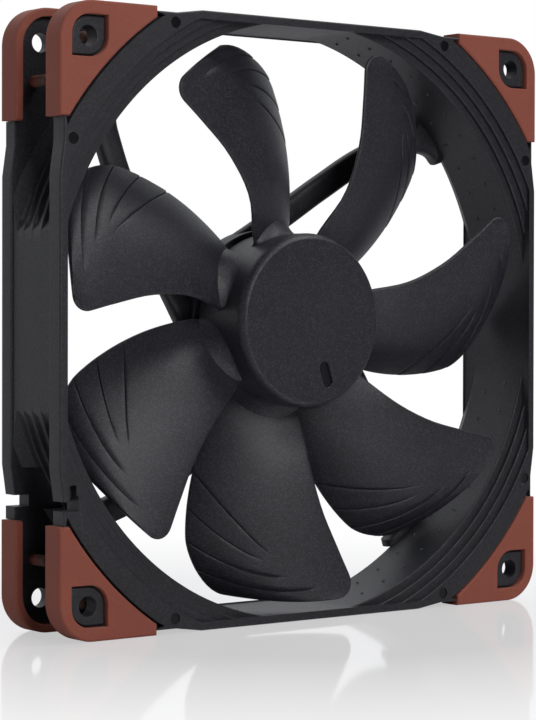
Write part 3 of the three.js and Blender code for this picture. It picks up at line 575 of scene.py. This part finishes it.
def black_plastic(name, dark, pale, speck, rough, grain_size, relief, smooth_shaded_place):
    """Black moulded plastic: the colour drifts between two blacks, specks lift it, and the
    grain moves the gloss and the relief. Where the mould was smooth there is no grain, the
    gloss is higher, and the colour is painted near black as painted shade; that place is a
    depth, and a radius with its half width, in millimetres."""
    material, tree, surface = new_finish(name, Specular_IOR_Level=0.5, Sheen_Weight=0.04,
                                         Sheen_Roughness=0.5, Sheen_Tint=(0.62, 0.64, 0.8, 1))
    texture = place_group(tree, grain, Grain_size=grain_size, Speck_share=0.3)
    drifting = ranged(tree, texture.outputs["Drift"], 0, 1, 0.3, 0.7)
    body = mixed(tree, drifting, dark, pale)
    share = add(tree, "Math", {0: texture.outputs["Specks"], 1: 0.5}, operation="MULTIPLY").outputs[0]
    depth, radius, half_width = smooth_shaded_place
    turning = place_group(tree, rings)
    level = add(tree, "Math", {0: turning.outputs["Length"], 1: depth, 2: 0.08},
                operation="COMPARE").outputs[0]
    ring = add(tree, "Math", {0: turning.outputs["Radius"], 1: radius, 2: half_width},
               operation="COMPARE").outputs[0]
    mask = add(tree, "Math", {0: level, 1: ring}, operation="MULTIPLY").outputs[0]
    # Painted shade: the smooth recess floors take a near-black colour, darker than the plastic.
    tree.links.new(mixed(tree, mask, mixed(tree, share, body, speck), (0.004, 0.004, 0.005, 1)),
                   surface.inputs["Base Color"])
    gloss = ranged(tree, texture.outputs["Height"], rough - 0.12, rough + 0.12, 0.25, 0.75)
    tree.links.new(ranged(tree, mask, gloss, 0.3), surface.inputs["Roughness"])
    bump(tree, surface, ranged(tree, mask, texture.outputs["Height"], 0.5), relief)
    return material


frame_plastic = black_plastic(
    "frame plastic", dark=(0.0098, 0.0099, 0.0128, 1), pale=(0.0138, 0.0139, 0.0175, 1),
    speck=(0.036, 0.036, 0.046, 1), rough=0.5, grain_size=0.24, relief=0.045,
    smooth_shaded_place=(EJECTOR_DEPTH - FACE, 77.5, 1.7))
housing_frame.data.materials.clear()
housing_frame.data.materials.append(frame_plastic)
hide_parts("frame")
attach(housing_frame, "housing")

# ---- Corner pads ---------------------------------------------------------------------------
# Eight moulded pads of red-brown silicone. Each wraps one corner of a flange, shows the screw
# boss through its window, and is held by two round-ended pins pulled through the flange.

PAD_DEPTH = 6.4
PAD_EDGE = 0.6
WINDOW_GAP = 0.4


def pad_outline(inset):
    """The pad's outline: the arc beside the frame's raised ring, the leg ends and the corner."""
    return corner_outline(HALF_WIDTH - inset, CORNER_ROUND - inset, PAD_ARC + inset, LEG_END + inset)


PAD_END = PAD_DEPTH - HALF_DEPTH    # where the pad's walls end, between the flanges
outside = [(pad_outline(inset), -HALF_DEPTH + depth) for inset, depth in rounding(PAD_EDGE)]
outside += [(pad_outline(inset), PAD_END - depth) for inset, depth in rounding(PAD_EDGE, 3)[::-1]]
pad_body = build("pad", [stack(outside)])
INSIDE = HALF_WIDTH - PAD_WALL      # inner faces of the pad's walls
INSIDE_ROUND = CORNER_ROUND - PAD_WALL
BEYOND = -9                         # the flange's place in the pad reaches past the axis
inside_corner = INSIDE - INSIDE_ROUND + polar(INSIDE_ROUND, np.linspace(0, 90, 17))
inner_seat = np.vstack([[(BEYOND, BEYOND), (INSIDE, BEYOND)], inside_corner, [(BEYOND, INSIDE)]])
change(pad_body, "DIFFERENCE", [stack([(inner_seat, -HALF_DEPTH + PAD_PLATE), (inner_seat, HALF_DEPTH)])])
window = [(island_outline(WINDOW_GAP + inset), -HALF_DEPTH + depth) for inset, depth in rounding(0.3)]
change(pad_body, "DIFFERENCE", [stack([(island_outline(WINDOW_GAP + 0.3), -HALF_DEPTH - 1), *window,
                                       (island_outline(WINDOW_GAP), 0)])])
pin_end = pad_high.y
pin_profile = [(PIN_RADIUS, -HALF_DEPTH + PAD_PLATE / 2)]
pin_profile += [(PIN_RADIUS - 0.02 - inset, pin_end - depth)
                for inset, depth in rounding(PIN_RADIUS * 0.7, 5)[::-1]]
change(pad_body, "UNION", [pin(PIN_NEAR, PIN_FAR, pin_profile), pin(PIN_FAR, PIN_NEAR, pin_profile)])
pad_points = np.array([v.co for v in pad_body.data.vertices]) / MM
pad_faces = [list(p.vertices) for p in pad_body.data.polygons]
bpy.data.objects.remove(pad_body)


PIN_START = HALF_DEPTH - PAD_DEPTH


def silicone():
    """Red-brown silicone: a soft bloom over tens of millimetres, a powdery fine grain, and a
    little light passing under the surface. The pins between the flanges are painted darker,
    grey-brown, as painted shade."""
    material, tree, surface = new_finish(
        "pad silicone", Subsurface_Weight=0.08, Subsurface_Scale=0.002, Subsurface_Radius=(1.0, 0.4, 0.25),
        Specular_IOR_Level=0.4, Sheen_Weight=0.1, Sheen_Roughness=0.45, Sheen_Tint=(1.0, 0.72, 0.62, 1))
    texture = place_group(tree, grain, Grain_size=0.3, Speck_share=0.2)
    body = mixed(tree, ranged(tree, texture.outputs["Drift"], 0, 1, 0.25, 0.75),
                 (0.235, 0.060, 0.038, 1), (0.27, 0.072, 0.046, 1))
    share = add(tree, "Math", {0: texture.outputs["Specks"], 1: 0.12}, operation="MULTIPLY").outputs[0]
    outside = mixed(tree, share, body, (0.36, 0.12, 0.085, 1))
    # Painted shade: where the pins run between the flanges they take a darker grey-brown.
    place = add(tree, "SeparateXYZ", {"Vector": add(tree, "TexCoord").outputs["Object"]})
    depth = add(tree, "Math", {0: place.outputs["Y"]}, operation="ABSOLUTE").outputs[0]
    painted_pin_shade = ranged(tree, depth, 1.0, 0.0, PIN_START * MM - 0.0006, PIN_START * MM)
    tree.links.new(mixed(tree, painted_pin_shade, outside, (0.12, 0.062, 0.05, 1)), surface.inputs["Base Color"])
    tree.links.new(ranged(tree, texture.outputs["Height"], 0.62, 0.82), surface.inputs["Roughness"])
    bump(tree, surface, texture.outputs["Height"], 0.02)
    return material


pad_silicone = silicone()
CORNERS = ("top_right", "top_left", "bottom_left", "bottom_right")
OVERTURNED = ("bottom_right", "top_right", "top_left", "bottom_left")
for quarter in range(4):
    for face, name in ((1, f"inlet_pad_{CORNERS[quarter]}"), (-1, f"outlet_pad_{OVERTURNED[quarter]}")):
        points = turn_points(pad_points * (1, face, face), 90 * quarter)
        pad = build(f"silicone_{name}", [(points, pad_faces)])
        pad.data.materials.append(pad_silicone)
        smooth(pad)
        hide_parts(name)
        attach(pad, "housing")

# ---- Impeller ------------------------------------------------------------------------------
# One moulding in the same glass-filled plastic: the hub with its rounded rim, and seven swept
# blades. Each blade's inlet side has four fine overlapping steps that start at its trailing
# edge and fade out in the middle of the blade.

BLADES = 7
TIP_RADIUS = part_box("impeller")[1].x / MM
HUB_FRONT = -HALF_DEPTH + 1.2
HUB_REAR = BASE_FRONT - 0.7
HUB_WALL = 1.5
CAP_REAR = HUB_FRONT + 1.7
LEADING_ANGLE = np.array([121.2, 118.8, 120.8, 124.6, 127.4])   # at five places from hub to tip
LEADING_DEPTH = np.array([9.4, 4.9, 3.0, 1.9, 1.2])             # behind the inlet face
TRAILING_ANGLE = np.array([76.2, 79.7, 84.2, 89.2, 94.8])
TRAILING_HEIGHT = np.array([0.7, 0.3, 0.2, 0.4, 1.3])           # before the hub's rear rim
GROOVES = np.array([(0.47, 0.372, 0.315, 0.44), (0.64, 0.411, -0.17, 0.5),
                    (0.795, 0.287, -0.273, 0.37), (0.91, 0.152, -0.168, 0.2)])
SPAN = TIP_RADIUS - HUB_RADIUS


def ease(value):
    """A smooth step from 0 to 1."""
    value = np.clip(value, 0, 1)
    return value * value * (3 - 2 * value)


def groove_lines(chord):
    """Each groove's place on the span, by the share of the chord: a parabola in the distance
    from the trailing edge, held level past the groove's inner end."""
    start, slope, bend, end = GROOVES.T[:, :, None]
    back = 1 - np.maximum(chord, end)
    return start + slope * back + bend * back**2


def blade_rows():
    """The blade's two skins, inlet side and outlet side, as rows from the hub to the tip.

    The mean line runs straight from the leading to the trailing edge on its own cylinder, and
    is arched by a parabola of 7 % of its length. The thickness follows the square root of a
    sine along the chord, thins out towards the tip, and closes in a round at every free edge.
    Rows keep to the grooves' lines where they pass them, so that their edges are crisp."""
    near_edge = np.array([0, 0.0006, 0.0022, 0.005, 0.01, 0.02])
    chord = np.concatenate([near_edge, np.linspace(0.04, 0.96, 44), 1 - near_edge[::-1]])
    gusset_size = 0.5 + 2.9 * np.sin(np.pi * chord) ** 0.8
    lines = np.vstack([0 * chord, gusset_size / SPAN, groove_lines(chord), 0 * chord + 1])
    shares = [np.array([0, 0.12, 0.25, 0.4, 0.55, 0.7, 0.85, 0.96])]
    shares += [np.array([0, 0.01, *np.linspace(0.06, 0.94, 13), 0.975, 0.992])]
    shares += [np.array([0, 0.035, 0.09, 0.2, 0.4, 0.6, 0.8, 0.965])] * 3
    shares += [np.array([0, 0.03, 0.08, 0.25, 0.5, 0.7, 0.85, 0.94, 0.975, 0.99, 0.997, 1])]
    outward = np.vstack([low + (high - low) * part[:, None]
                         for low, high, part in zip(lines, lines[1:], shares)])
    chord = np.broadcast_to(chord, outward.shape)
    radius = HUB_RADIUS + SPAN * outward

    def pulled(size):
        """How far an edge draws back near the tip, so that the blade's corner is a round."""
        into = np.clip(radius - (TIP_RADIUS - size), 0, size)
        return size - np.sqrt(size**2 - into**2)

    lead = np.radians(curve_through(LEADING_ANGLE, outward)) - pulled(5.2) / radius
    trail = np.radians(curve_through(TRAILING_ANGLE, outward)) + pulled(10) / radius
    front = -HALF_DEPTH + curve_through(LEADING_DEPTH, outward)
    rear = HUB_REAR - curve_through(TRAILING_HEIGHT, outward)
    along, back = radius * (trail - lead), rear - front
    length = np.hypot(along, back)
    arch = 0.07 * length * 4 * chord * (1 - chord)
    full = 2.1 + (1.5 - 2.1) * outward
    middle = np.sin(np.pi * np.clip(chord, 0, 1))
    half = (0.7 + (full - 0.7) * np.sqrt(middle)) / 2
    from_edge = np.minimum(chord, 1 - chord) * length
    half *= np.sqrt(1 - np.clip(1 - from_edge / 0.4, 0, 1) ** 2)
    half *= np.sqrt(1 - np.clip(1 - (TIP_RADIUS - radius) / 0.35, 0, 1) ** 2)

    def fillet(size, flat_share):
        """What the blade gains beside the hub: part a flat bevel, part a quarter round."""
        near = np.clip(1 - (radius - HUB_RADIUS) / size, 0, 1)
        return size * (flat_share * near + (1 - flat_share) * (1 - np.sqrt(1 - near**2)))

    gusset = fillet(gusset_size, 0.75)
    relief = np.zeros_like(outward)
    for line, end in zip(groove_lines(chord[0]), GROOVES[:, 3]):
        depth = ease((chord[0] - end) / 0.14)
        place = (outward - line) * SPAN
        relief += depth * np.interp(place, [-0.3, -0.02, 0.22, 0.9, 4.2], [0, -0.42, 0.02, 0.1, 0])
    relief = np.maximum(relief, -1.1 * half)
    skins = []
    for lift in (arch + half + gusset + relief, arch - half - fillet(1.2, 0)):
        u = radius * lead + along * chord - back / length * lift
        y = front + back * chord + along / length * lift
        turn = u / radius
        skins.append(np.stack([radius * np.cos(turn), y, radius * np.sin(turn)], -1))
    return skins


suction, pressure = blade_rows()
rows = np.concatenate([suction, pressure[:, -2:0:-1]], axis=1)
root = rows[0]
root_scale = (HUB_RADIUS - HUB_WALL / 2) / np.hypot(root[:, 0], root[:, 2])
inside_root = np.stack([root[:, 0] * root_scale, root[:, 1], root[:, 2] * root_scale], -1)
rows = np.concatenate([inside_root[None], rows])
blade = shell(rows)

RIM, RIM_START = 2.4, np.radians(25)      # the rim's round meets the face at an angle
rim_turn = np.linspace(RIM_START, np.pi / 2, 12)
rim_inset, rim_depth = RIM * (1 - np.sin(rim_turn)), RIM * (np.cos(RIM_START) - np.cos(rim_turn))
rim = [(HUB_RADIUS - rim_inset[0] - 0.12, HUB_FRONT)]
rim += zip(HUB_RADIUS - rim_inset, HUB_FRONT + 0.03 + rim_depth)
dimple = [(0.15, HUB_FRONT + 0.14), (0.5, HUB_FRONT + 0.1), (0.75, HUB_FRONT + 0.02), (1.0, HUB_FRONT)]
hub_profile = dimple + [(r, HUB_FRONT) for r in (6, 12, 17)] + rim
hub_profile += [(HUB_RADIUS, y) for y in (-6, 0)]
hub_profile += [(HUB_RADIUS - inset, HUB_REAR - depth) for inset, depth in rounding(0.25, 2)[::-1]]
BOSS_RADIUS, BOSS_END = 4.5, CAP_REAR + 2.3      # the boss that holds the shaft
SHAFT_HOLE, SHAFT_HOLE_END = 1.53, CAP_REAR - 1.3
hub_profile += [(HUB_RADIUS - HUB_WALL, HUB_REAR), (HUB_RADIUS - HUB_WALL, CAP_REAR)]
hub_profile += [(BOSS_RADIUS, CAP_REAR), (BOSS_RADIUS, BOSS_END), (SHAFT_HOLE, BOSS_END)]
hub_profile += [(SHAFT_HOLE, SHAFT_HOLE_END), (0.15, SHAFT_HOLE_END)]
impeller = build("impeller_moulding", [lathe(hub_profile, 192)])

MARK_RADIUS, MARK_ANGLE, MARK_LENGTH, MARK_WIDTH, MARK_DEPTH = HUB_RADIUS - 7, -72, 6.3, 2.8, 0.6


def mark_outline(grow):
    """The pointer recess: a slot with round ends, along a radius."""
    bend, reach = MARK_WIDTH / 2 + grow, (MARK_LENGTH - MARK_WIDTH) / 2
    outer = (MARK_RADIUS + reach, 0) + polar(bend, np.linspace(-90, 90, 15))
    inner = (MARK_RADIUS - reach, 0) + polar(bend, np.linspace(90, 270, 15))
    return np.vstack([outer, inner])


recess = stack([(mark_outline(0.12), HUB_FRONT - 1), (mark_outline(0.12), HUB_FRONT),
                (mark_outline(0), HUB_FRONT + 0.12), (mark_outline(0), HUB_FRONT + MARK_DEPTH)])
change(impeller, "DIFFERENCE", [turned(recess, MARK_ANGLE)])
for k in range(BLADES):
    change(impeller, "UNION", [turned(blade, 360 * k / BLADES)])
smooth(impeller, 31)


impeller_plastic = black_plastic(
    "impeller plastic", dark=(0.0088, 0.0088, 0.0118, 1), pale=(0.0136, 0.0136, 0.018, 1),
    speck=(0.05, 0.05, 0.066, 1), rough=0.44, grain_size=0.2, relief=0.055,
    smooth_shaded_place=(HUB_FRONT + MARK_DEPTH, MARK_RADIUS, 3.5))
impeller.data.materials.clear()
impeller.data.materials.append(impeller_plastic)
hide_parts("impeller")
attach(impeller, "rotor")

# ---- Rotor's shaft, yoke and magnet --------------------------------------------------------
# Under the hub: a drawn steel cup pressed into the moulding, the bonded ferrite ring magnet
# glued inside it, a ground steel shaft, and a nylon clip that snaps into the shaft's groove.

def textured(name, dark, pale, rough, grain_size, relief, metallic=0.0, ring_share=0.0, pitch=0.2,
             **constants):
    """A material between two colours by its grain and, by a share, by turned rings at a pitch."""
    material, tree, surface = new_finish(name, Metallic=metallic, **constants)
    texture = place_group(tree, grain, Grain_size=grain_size, Speck_share=0.15)
    turning = place_group(tree, rings, Pitch=pitch)
    both = add(tree, "Mix", {0: ring_share, 2: texture.outputs["Height"],
                             3: turning.outputs["Rings"]}).outputs[0]
    shade = ranged(tree, both, 0, 1, 0.25, 0.75)
    tree.links.new(mixed(tree, shade, dark, pale), surface.inputs["Base Color"])
    tree.links.new(ranged(tree, both, rough + 0.08, rough - 0.08), surface.inputs["Roughness"])
    bump(tree, surface, both, relief)
    return material, tree, surface


def give(material, *nodes):
    """The CAD nodes keep their shape and take the material."""
    for node in nodes:
        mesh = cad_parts[node].data
        mesh.materials.clear()
        mesh.materials.append(material)


shaft_steel = textured("shaft steel", (0.5, 0.5, 0.49, 1), (0.68, 0.67, 0.66, 1), rough=0.2, grain_size=0.15,
                       relief=0.002, metallic=1.0, ring_share=0.6, pitch=0.12)[0]
yoke_steel = textured("yoke steel", (0.36, 0.36, 0.37, 1), (0.52, 0.52, 0.53, 1), rough=0.38, grain_size=0.6,
                      relief=0.008, metallic=1.0, ring_share=0.3, pitch=0.5)[0]
magnet = textured("bonded magnet", (0.02, 0.02, 0.022, 1), (0.05, 0.05, 0.055, 1), rough=0.62,
                  grain_size=0.25, relief=0.02)[0]
nylon = textured("nylon", (0.62, 0.6, 0.53, 1), (0.72, 0.7, 0.64, 1), rough=0.48, grain_size=0.4,
                 relief=0.008, Subsurface_Weight=0.15, Subsurface_Scale=0.001)[0]
give(shaft_steel, "shaft")
give(yoke_steel, "rotor_yoke")
give(magnet, "ring_magnet", "stabiliser_magnet")
give(nylon, "retaining_clip")

# ---- Bearing -------------------------------------------------------------------------------
# A turned brass shell pressed into the motor cup, with an oil-soaked bronze sleeve, a nylon
# seal in front of it, and a thrust plate that the shaft's end runs on.

brass = textured("turned brass", (0.5, 0.33, 0.11, 1), (0.72, 0.5, 0.2, 1), rough=0.28, grain_size=0.2,
                 relief=0.004, metallic=1.0, ring_share=0.65, pitch=0.18)[0]
bronze = textured("sintered bronze", (0.16, 0.085, 0.04, 1), (0.42, 0.25, 0.12, 1), rough=0.5,
                  grain_size=0.12, relief=0.02, metallic=0.9)[0]
give(brass, "bearing_shell")
give(bronze, "bearing_sleeve")
give(nylon, "oil_seal", "thrust_plate")

# ---- Stator --------------------------------------------------------------------------------
# A stack of half-millimetre silicon steel sheets, nylon insulators in front of and behind it,
# and four coils of lacquered copper wire.

SHEET = 0.5
core_steel, tree, surface = new_finish("core steel", Metallic=1.0)
sheets = place_group(tree, rings, Pitch=SHEET)
texture = place_group(tree, grain, Grain_size=0.3, Speck_share=0.1)
sheet_turn = add(tree, "Math", {0: sheets.outputs["Length"], 1: SHEET}, operation="DIVIDE").outputs[0]
sheet_share = add(tree, "Math", {0: sheet_turn}, operation="FRACT").outputs[0]
gap = add(tree, "Math", {0: sheet_share, 1: 0.85}, operation="GREATER_THAN").outputs[0]
tree.links.new(mixed(tree, gap, (0.3, 0.31, 0.34, 1), (0.07, 0.07, 0.08, 1)), surface.inputs["Base Color"])
tree.links.new(ranged(tree, texture.outputs["Height"], 0.3, 0.5), surface.inputs["Roughness"])
bump(tree, surface, ranged(tree, gap, texture.outputs["Height"], 0.0), 0.02)
give(core_steel, "stator_core")
give(nylon, "insulator_front", "insulator_rear")

WIRE = 0.24
copper, tree, surface = new_finish("lacquered copper", Metallic=1.0, Coat_Weight=0.6, Coat_Roughness=0.15)
winding = place_group(tree, rings, Pitch=WIRE)
wire_turn = add(tree, "Math", {0: winding.outputs["Radius"], 1: WIRE}, operation="DIVIDE").outputs[0]
wire_share = add(tree, "Math", {0: wire_turn, 1: 1.0}, operation="PINGPONG").outputs[0]
wire_colour = mixed(tree, wire_share, (0.24, 0.07, 0.025, 1), (0.72, 0.27, 0.1, 1))
tree.links.new(wire_colour, surface.inputs["Base Color"])
tree.links.new(ranged(tree, wire_share, 0.5, 0.25), surface.inputs["Roughness"])
bump(tree, surface, wire_share, 0.12)
give(copper, "coil_1", "coil_2", "coil_3", "coil_4")

# ---- Circuit board -------------------------------------------------------------------------
# A ring of green-masked glass epoxy behind the stator, with the driver chip, the sensor that
# reads the magnet, and two ceramic capacitors soldered to it.

board_green, tree, surface = new_finish("board", Coat_Weight=0.4, Coat_Roughness=0.2, Roughness=0.42)
texture = place_group(tree, grain, Grain_size=0.4, Speck_share=0.1)
where = add(tree, "TexCoord").outputs["Object"]
tracks = add(tree, "TexVoronoi", {"Vector": where, "Scale": 420.0, "Randomness": 0.25}, distance="MANHATTAN",
             feature="F2").outputs["Distance"]
track = ranged(tree, tracks, 0, 1, 0.55, 0.62)
green = mixed(tree, texture.outputs["Drift"], (0.006, 0.06, 0.022, 1), (0.01, 0.085, 0.032, 1))
tree.links.new(mixed(tree, track, green, (0.018, 0.15, 0.06, 1)), surface.inputs["Base Color"])
bump(tree, surface, track, 0.03)
chip_plastic = textured("moulded epoxy", (0.012, 0.012, 0.013, 1), (0.024, 0.024, 0.026, 1), rough=0.55,
                        grain_size=0.15, relief=0.01)[0]
ceramic = textured("capacitor ceramic", (0.28, 0.18, 0.1, 1), (0.38, 0.26, 0.15, 1), rough=0.42,
                   grain_size=0.2, relief=0.006)[0]
give(board_green, "circuit_board")
give(chip_plastic, "driver_chip", "hall_sensor")
give(ceramic, "capacitor_1", "capacitor_2")

# ---- Rear label ----------------------------------------------------------------------------
# A round self-adhesive film stuck in the cup's shallow recess behind the motor. It is printed
# with plain rings and carries no words.

label_film, tree, surface = new_finish("label film", Coat_Weight=0.3, Coat_Roughness=0.25)
texture = place_group(tree, grain, Grain_size=0.5, Speck_share=0.1)
printed = place_group(tree, rings, Pitch=0.5)
radius = printed.outputs["Radius"]
lines = [add(tree, "Math", {0: radius, 1: at, 2: half}, operation="COMPARE").outputs[0]
         for at, half in ((17.6, 0.35), (16.2, 0.15), (7.5, 0.2))]
outer_ink = add(tree, "Math", {0: lines[0], 1: lines[1]}).outputs[0]
ring_ink = add(tree, "Math", {0: outer_ink, 1: lines[2]}).outputs[0]
dark_band = add(tree, "Math", {0: radius, 1: 11.8, 2: 3.2}, operation="COMPARE").outputs[0]
film = mixed(tree, texture.outputs["Drift"], (0.11, 0.035, 0.022, 1), (0.14, 0.045, 0.028, 1))
banded = mixed(tree, dark_band, film, (0.42, 0.38, 0.33, 1))
tree.links.new(mixed(tree, ring_ink, banded, (0.6, 0.56, 0.5, 1)), surface.inputs["Base Color"])
tree.links.new(ranged(tree, texture.outputs["Height"], 0.35, 0.5), surface.inputs["Roughness"])
bump(tree, surface, texture.outputs["Height"], 0.004)
give(label_film, "rear_label")

# ---- Studio --------------------------------------------------------------------------------
# A pale, slightly glossy table that fades into a white room. One large soft light stands in
# front on the left, one is above on the right, and a faint one fills in from the left.

FLOOR = cad_box[0].z
floor_mesh = bpy.data.meshes.new("table")
floor_mesh.from_pydata([(-6, -6, FLOOR), (6, -6, FLOOR), (6, 6, FLOOR), (-6, 6, FLOOR)], [], [(0, 1, 2, 3)])
floor = bpy.data.objects.new("table", floor_mesh)
bpy.context.scene.collection.objects.link(floor)
table_finish, tree, surface = new_finish("pale table", Base_Color=(0.66, 0.65, 0.68, 1), Roughness=0.5)
floor.data.materials.append(table_finish)
flat_place = add(tree, "VectorMath", {0: add(tree, "TexCoord").outputs["Object"], 1: (1, 1, 0)},
                 operation="MULTIPLY").outputs[0]
around = add(tree, "VectorMath", {0: flat_place}, operation="LENGTH").outputs["Value"]
haze = add(tree, "TexNoise", {"Vector": add(tree, "TexCoord").outputs["Object"], "Scale": 900.0})
tree.links.new(ranged(tree, haze.outputs["Fac"], 0.45, 0.6), surface.inputs["Roughness"])
seen = add(tree, "LightPath").outputs["Is Camera Ray"]
paper = add(tree, "Emission", {"Color": (1, 1, 1, 1), "Strength": 1.0})
lit = add(tree, "Math", {0: seen, 1: 0.72}, operation="MULTIPLY").outputs[0]
table_top = add(tree, "MixShader", {0: lit, 1: surface.outputs[0], 2: paper.outputs[0]})
mirror = add(tree, "BsdfGlossy", {"Color": (1, 1, 1, 1), "Roughness": 0.07})
polished_table = add(tree, "MixShader", {0: 0.28, 1: table_top.outputs[0], 2: mirror.outputs[0]})
fade = ranged(tree, around, 0.0, 1, 0.07, 0.2)
shown = add(tree, "Math", {0: fade, 1: seen}, operation="MULTIPLY").outputs[0]
whole = add(tree, "MixShader", {0: shown, 1: polished_table.outputs[0], 2: paper.outputs[0]})
tree.links.new(whole.outputs[0], tree.nodes["Material Output"].inputs["Surface"])

world = bpy.data.worlds.new("studio")
bpy.context.scene.world = world
world.use_nodes = True
sky = world.node_tree
sky.nodes.clear()
toward = add(sky, "VectorMath", {0: add(sky, "TexCoord").outputs["Generated"], 1: (0.3, 0.9, 0.3)},
             operation="DOT_PRODUCT").outputs["Value"]
strength = ranged(sky, toward, 0.0, 0.9, 0.15, 0.75)
white_room = add(sky, "Background", {"Color": (1, 1, 1, 1), "Strength": 1.0})
dim_room = add(sky, "Background", {"Color": (0.96, 0.97, 1, 1), "Strength": strength})
seen = add(sky, "LightPath").outputs["Is Camera Ray"]
chosen_room = add(sky, "MixShader", {0: seen, 1: dim_room.outputs[0], 2: white_room.outputs[0]})
add(sky, "OutputWorld", {"Surface": chosen_room.outputs[0]})


def softbox(name, place, width, height, power):
    """A soft rectangular light at a place, turned towards the fan; metres and watts."""
    light = bpy.data.lights.new(name, "AREA")
    light.shape = "RECTANGLE"
    light.size, light.size_y = width, height
    light.energy = power
    lamp = bpy.data.objects.new(name, light)
    lamp.location = place
    lamp.rotation_mode = "QUATERNION"
    lamp.rotation_quaternion = Vector(place).to_track_quat("Z", "Y")
    bpy.context.scene.collection.objects.link(lamp)


softbox("front", (-0.12, -0.9, 0.42), 0.45, 0.45, 4.4)
softbox("key", (0.42, -0.28, 0.85), 0.4, 0.4, 3.6)
softbox("left", (-0.97, -0.15, 0.15), 0.4, 0.4, 0.7)

AZIMUTH, ELEVATION, ROLL = np.radians((-37.781, 0.669, 0.1197))
back = Vector((np.sin(AZIMUTH) * np.cos(ELEVATION), -np.cos(AZIMUTH) * np.cos(ELEVATION), np.sin(ELEVATION)))
camera_data = bpy.data.cameras.new("camera")
camera_data.sensor_width = 36
camera_data.lens = 120.695
camera_data.shift_x, camera_data.shift_y = -0.04748, -0.04272
camera_data.clip_start = 0.01
camera = bpy.data.objects.new("camera", camera_data)
camera.location = (-0.347585, -0.455747, 0.004494)
camera.rotation_mode = "QUATERNION"
camera.rotation_quaternion = (-back).to_track_quat("-Z", "Y") @ Quaternion((0, 0, 1), ROLL)
bpy.context.scene.collection.objects.link(camera)
bpy.context.scene.camera = camera
bpy.context.scene.view_settings.view_transform = "Standard"
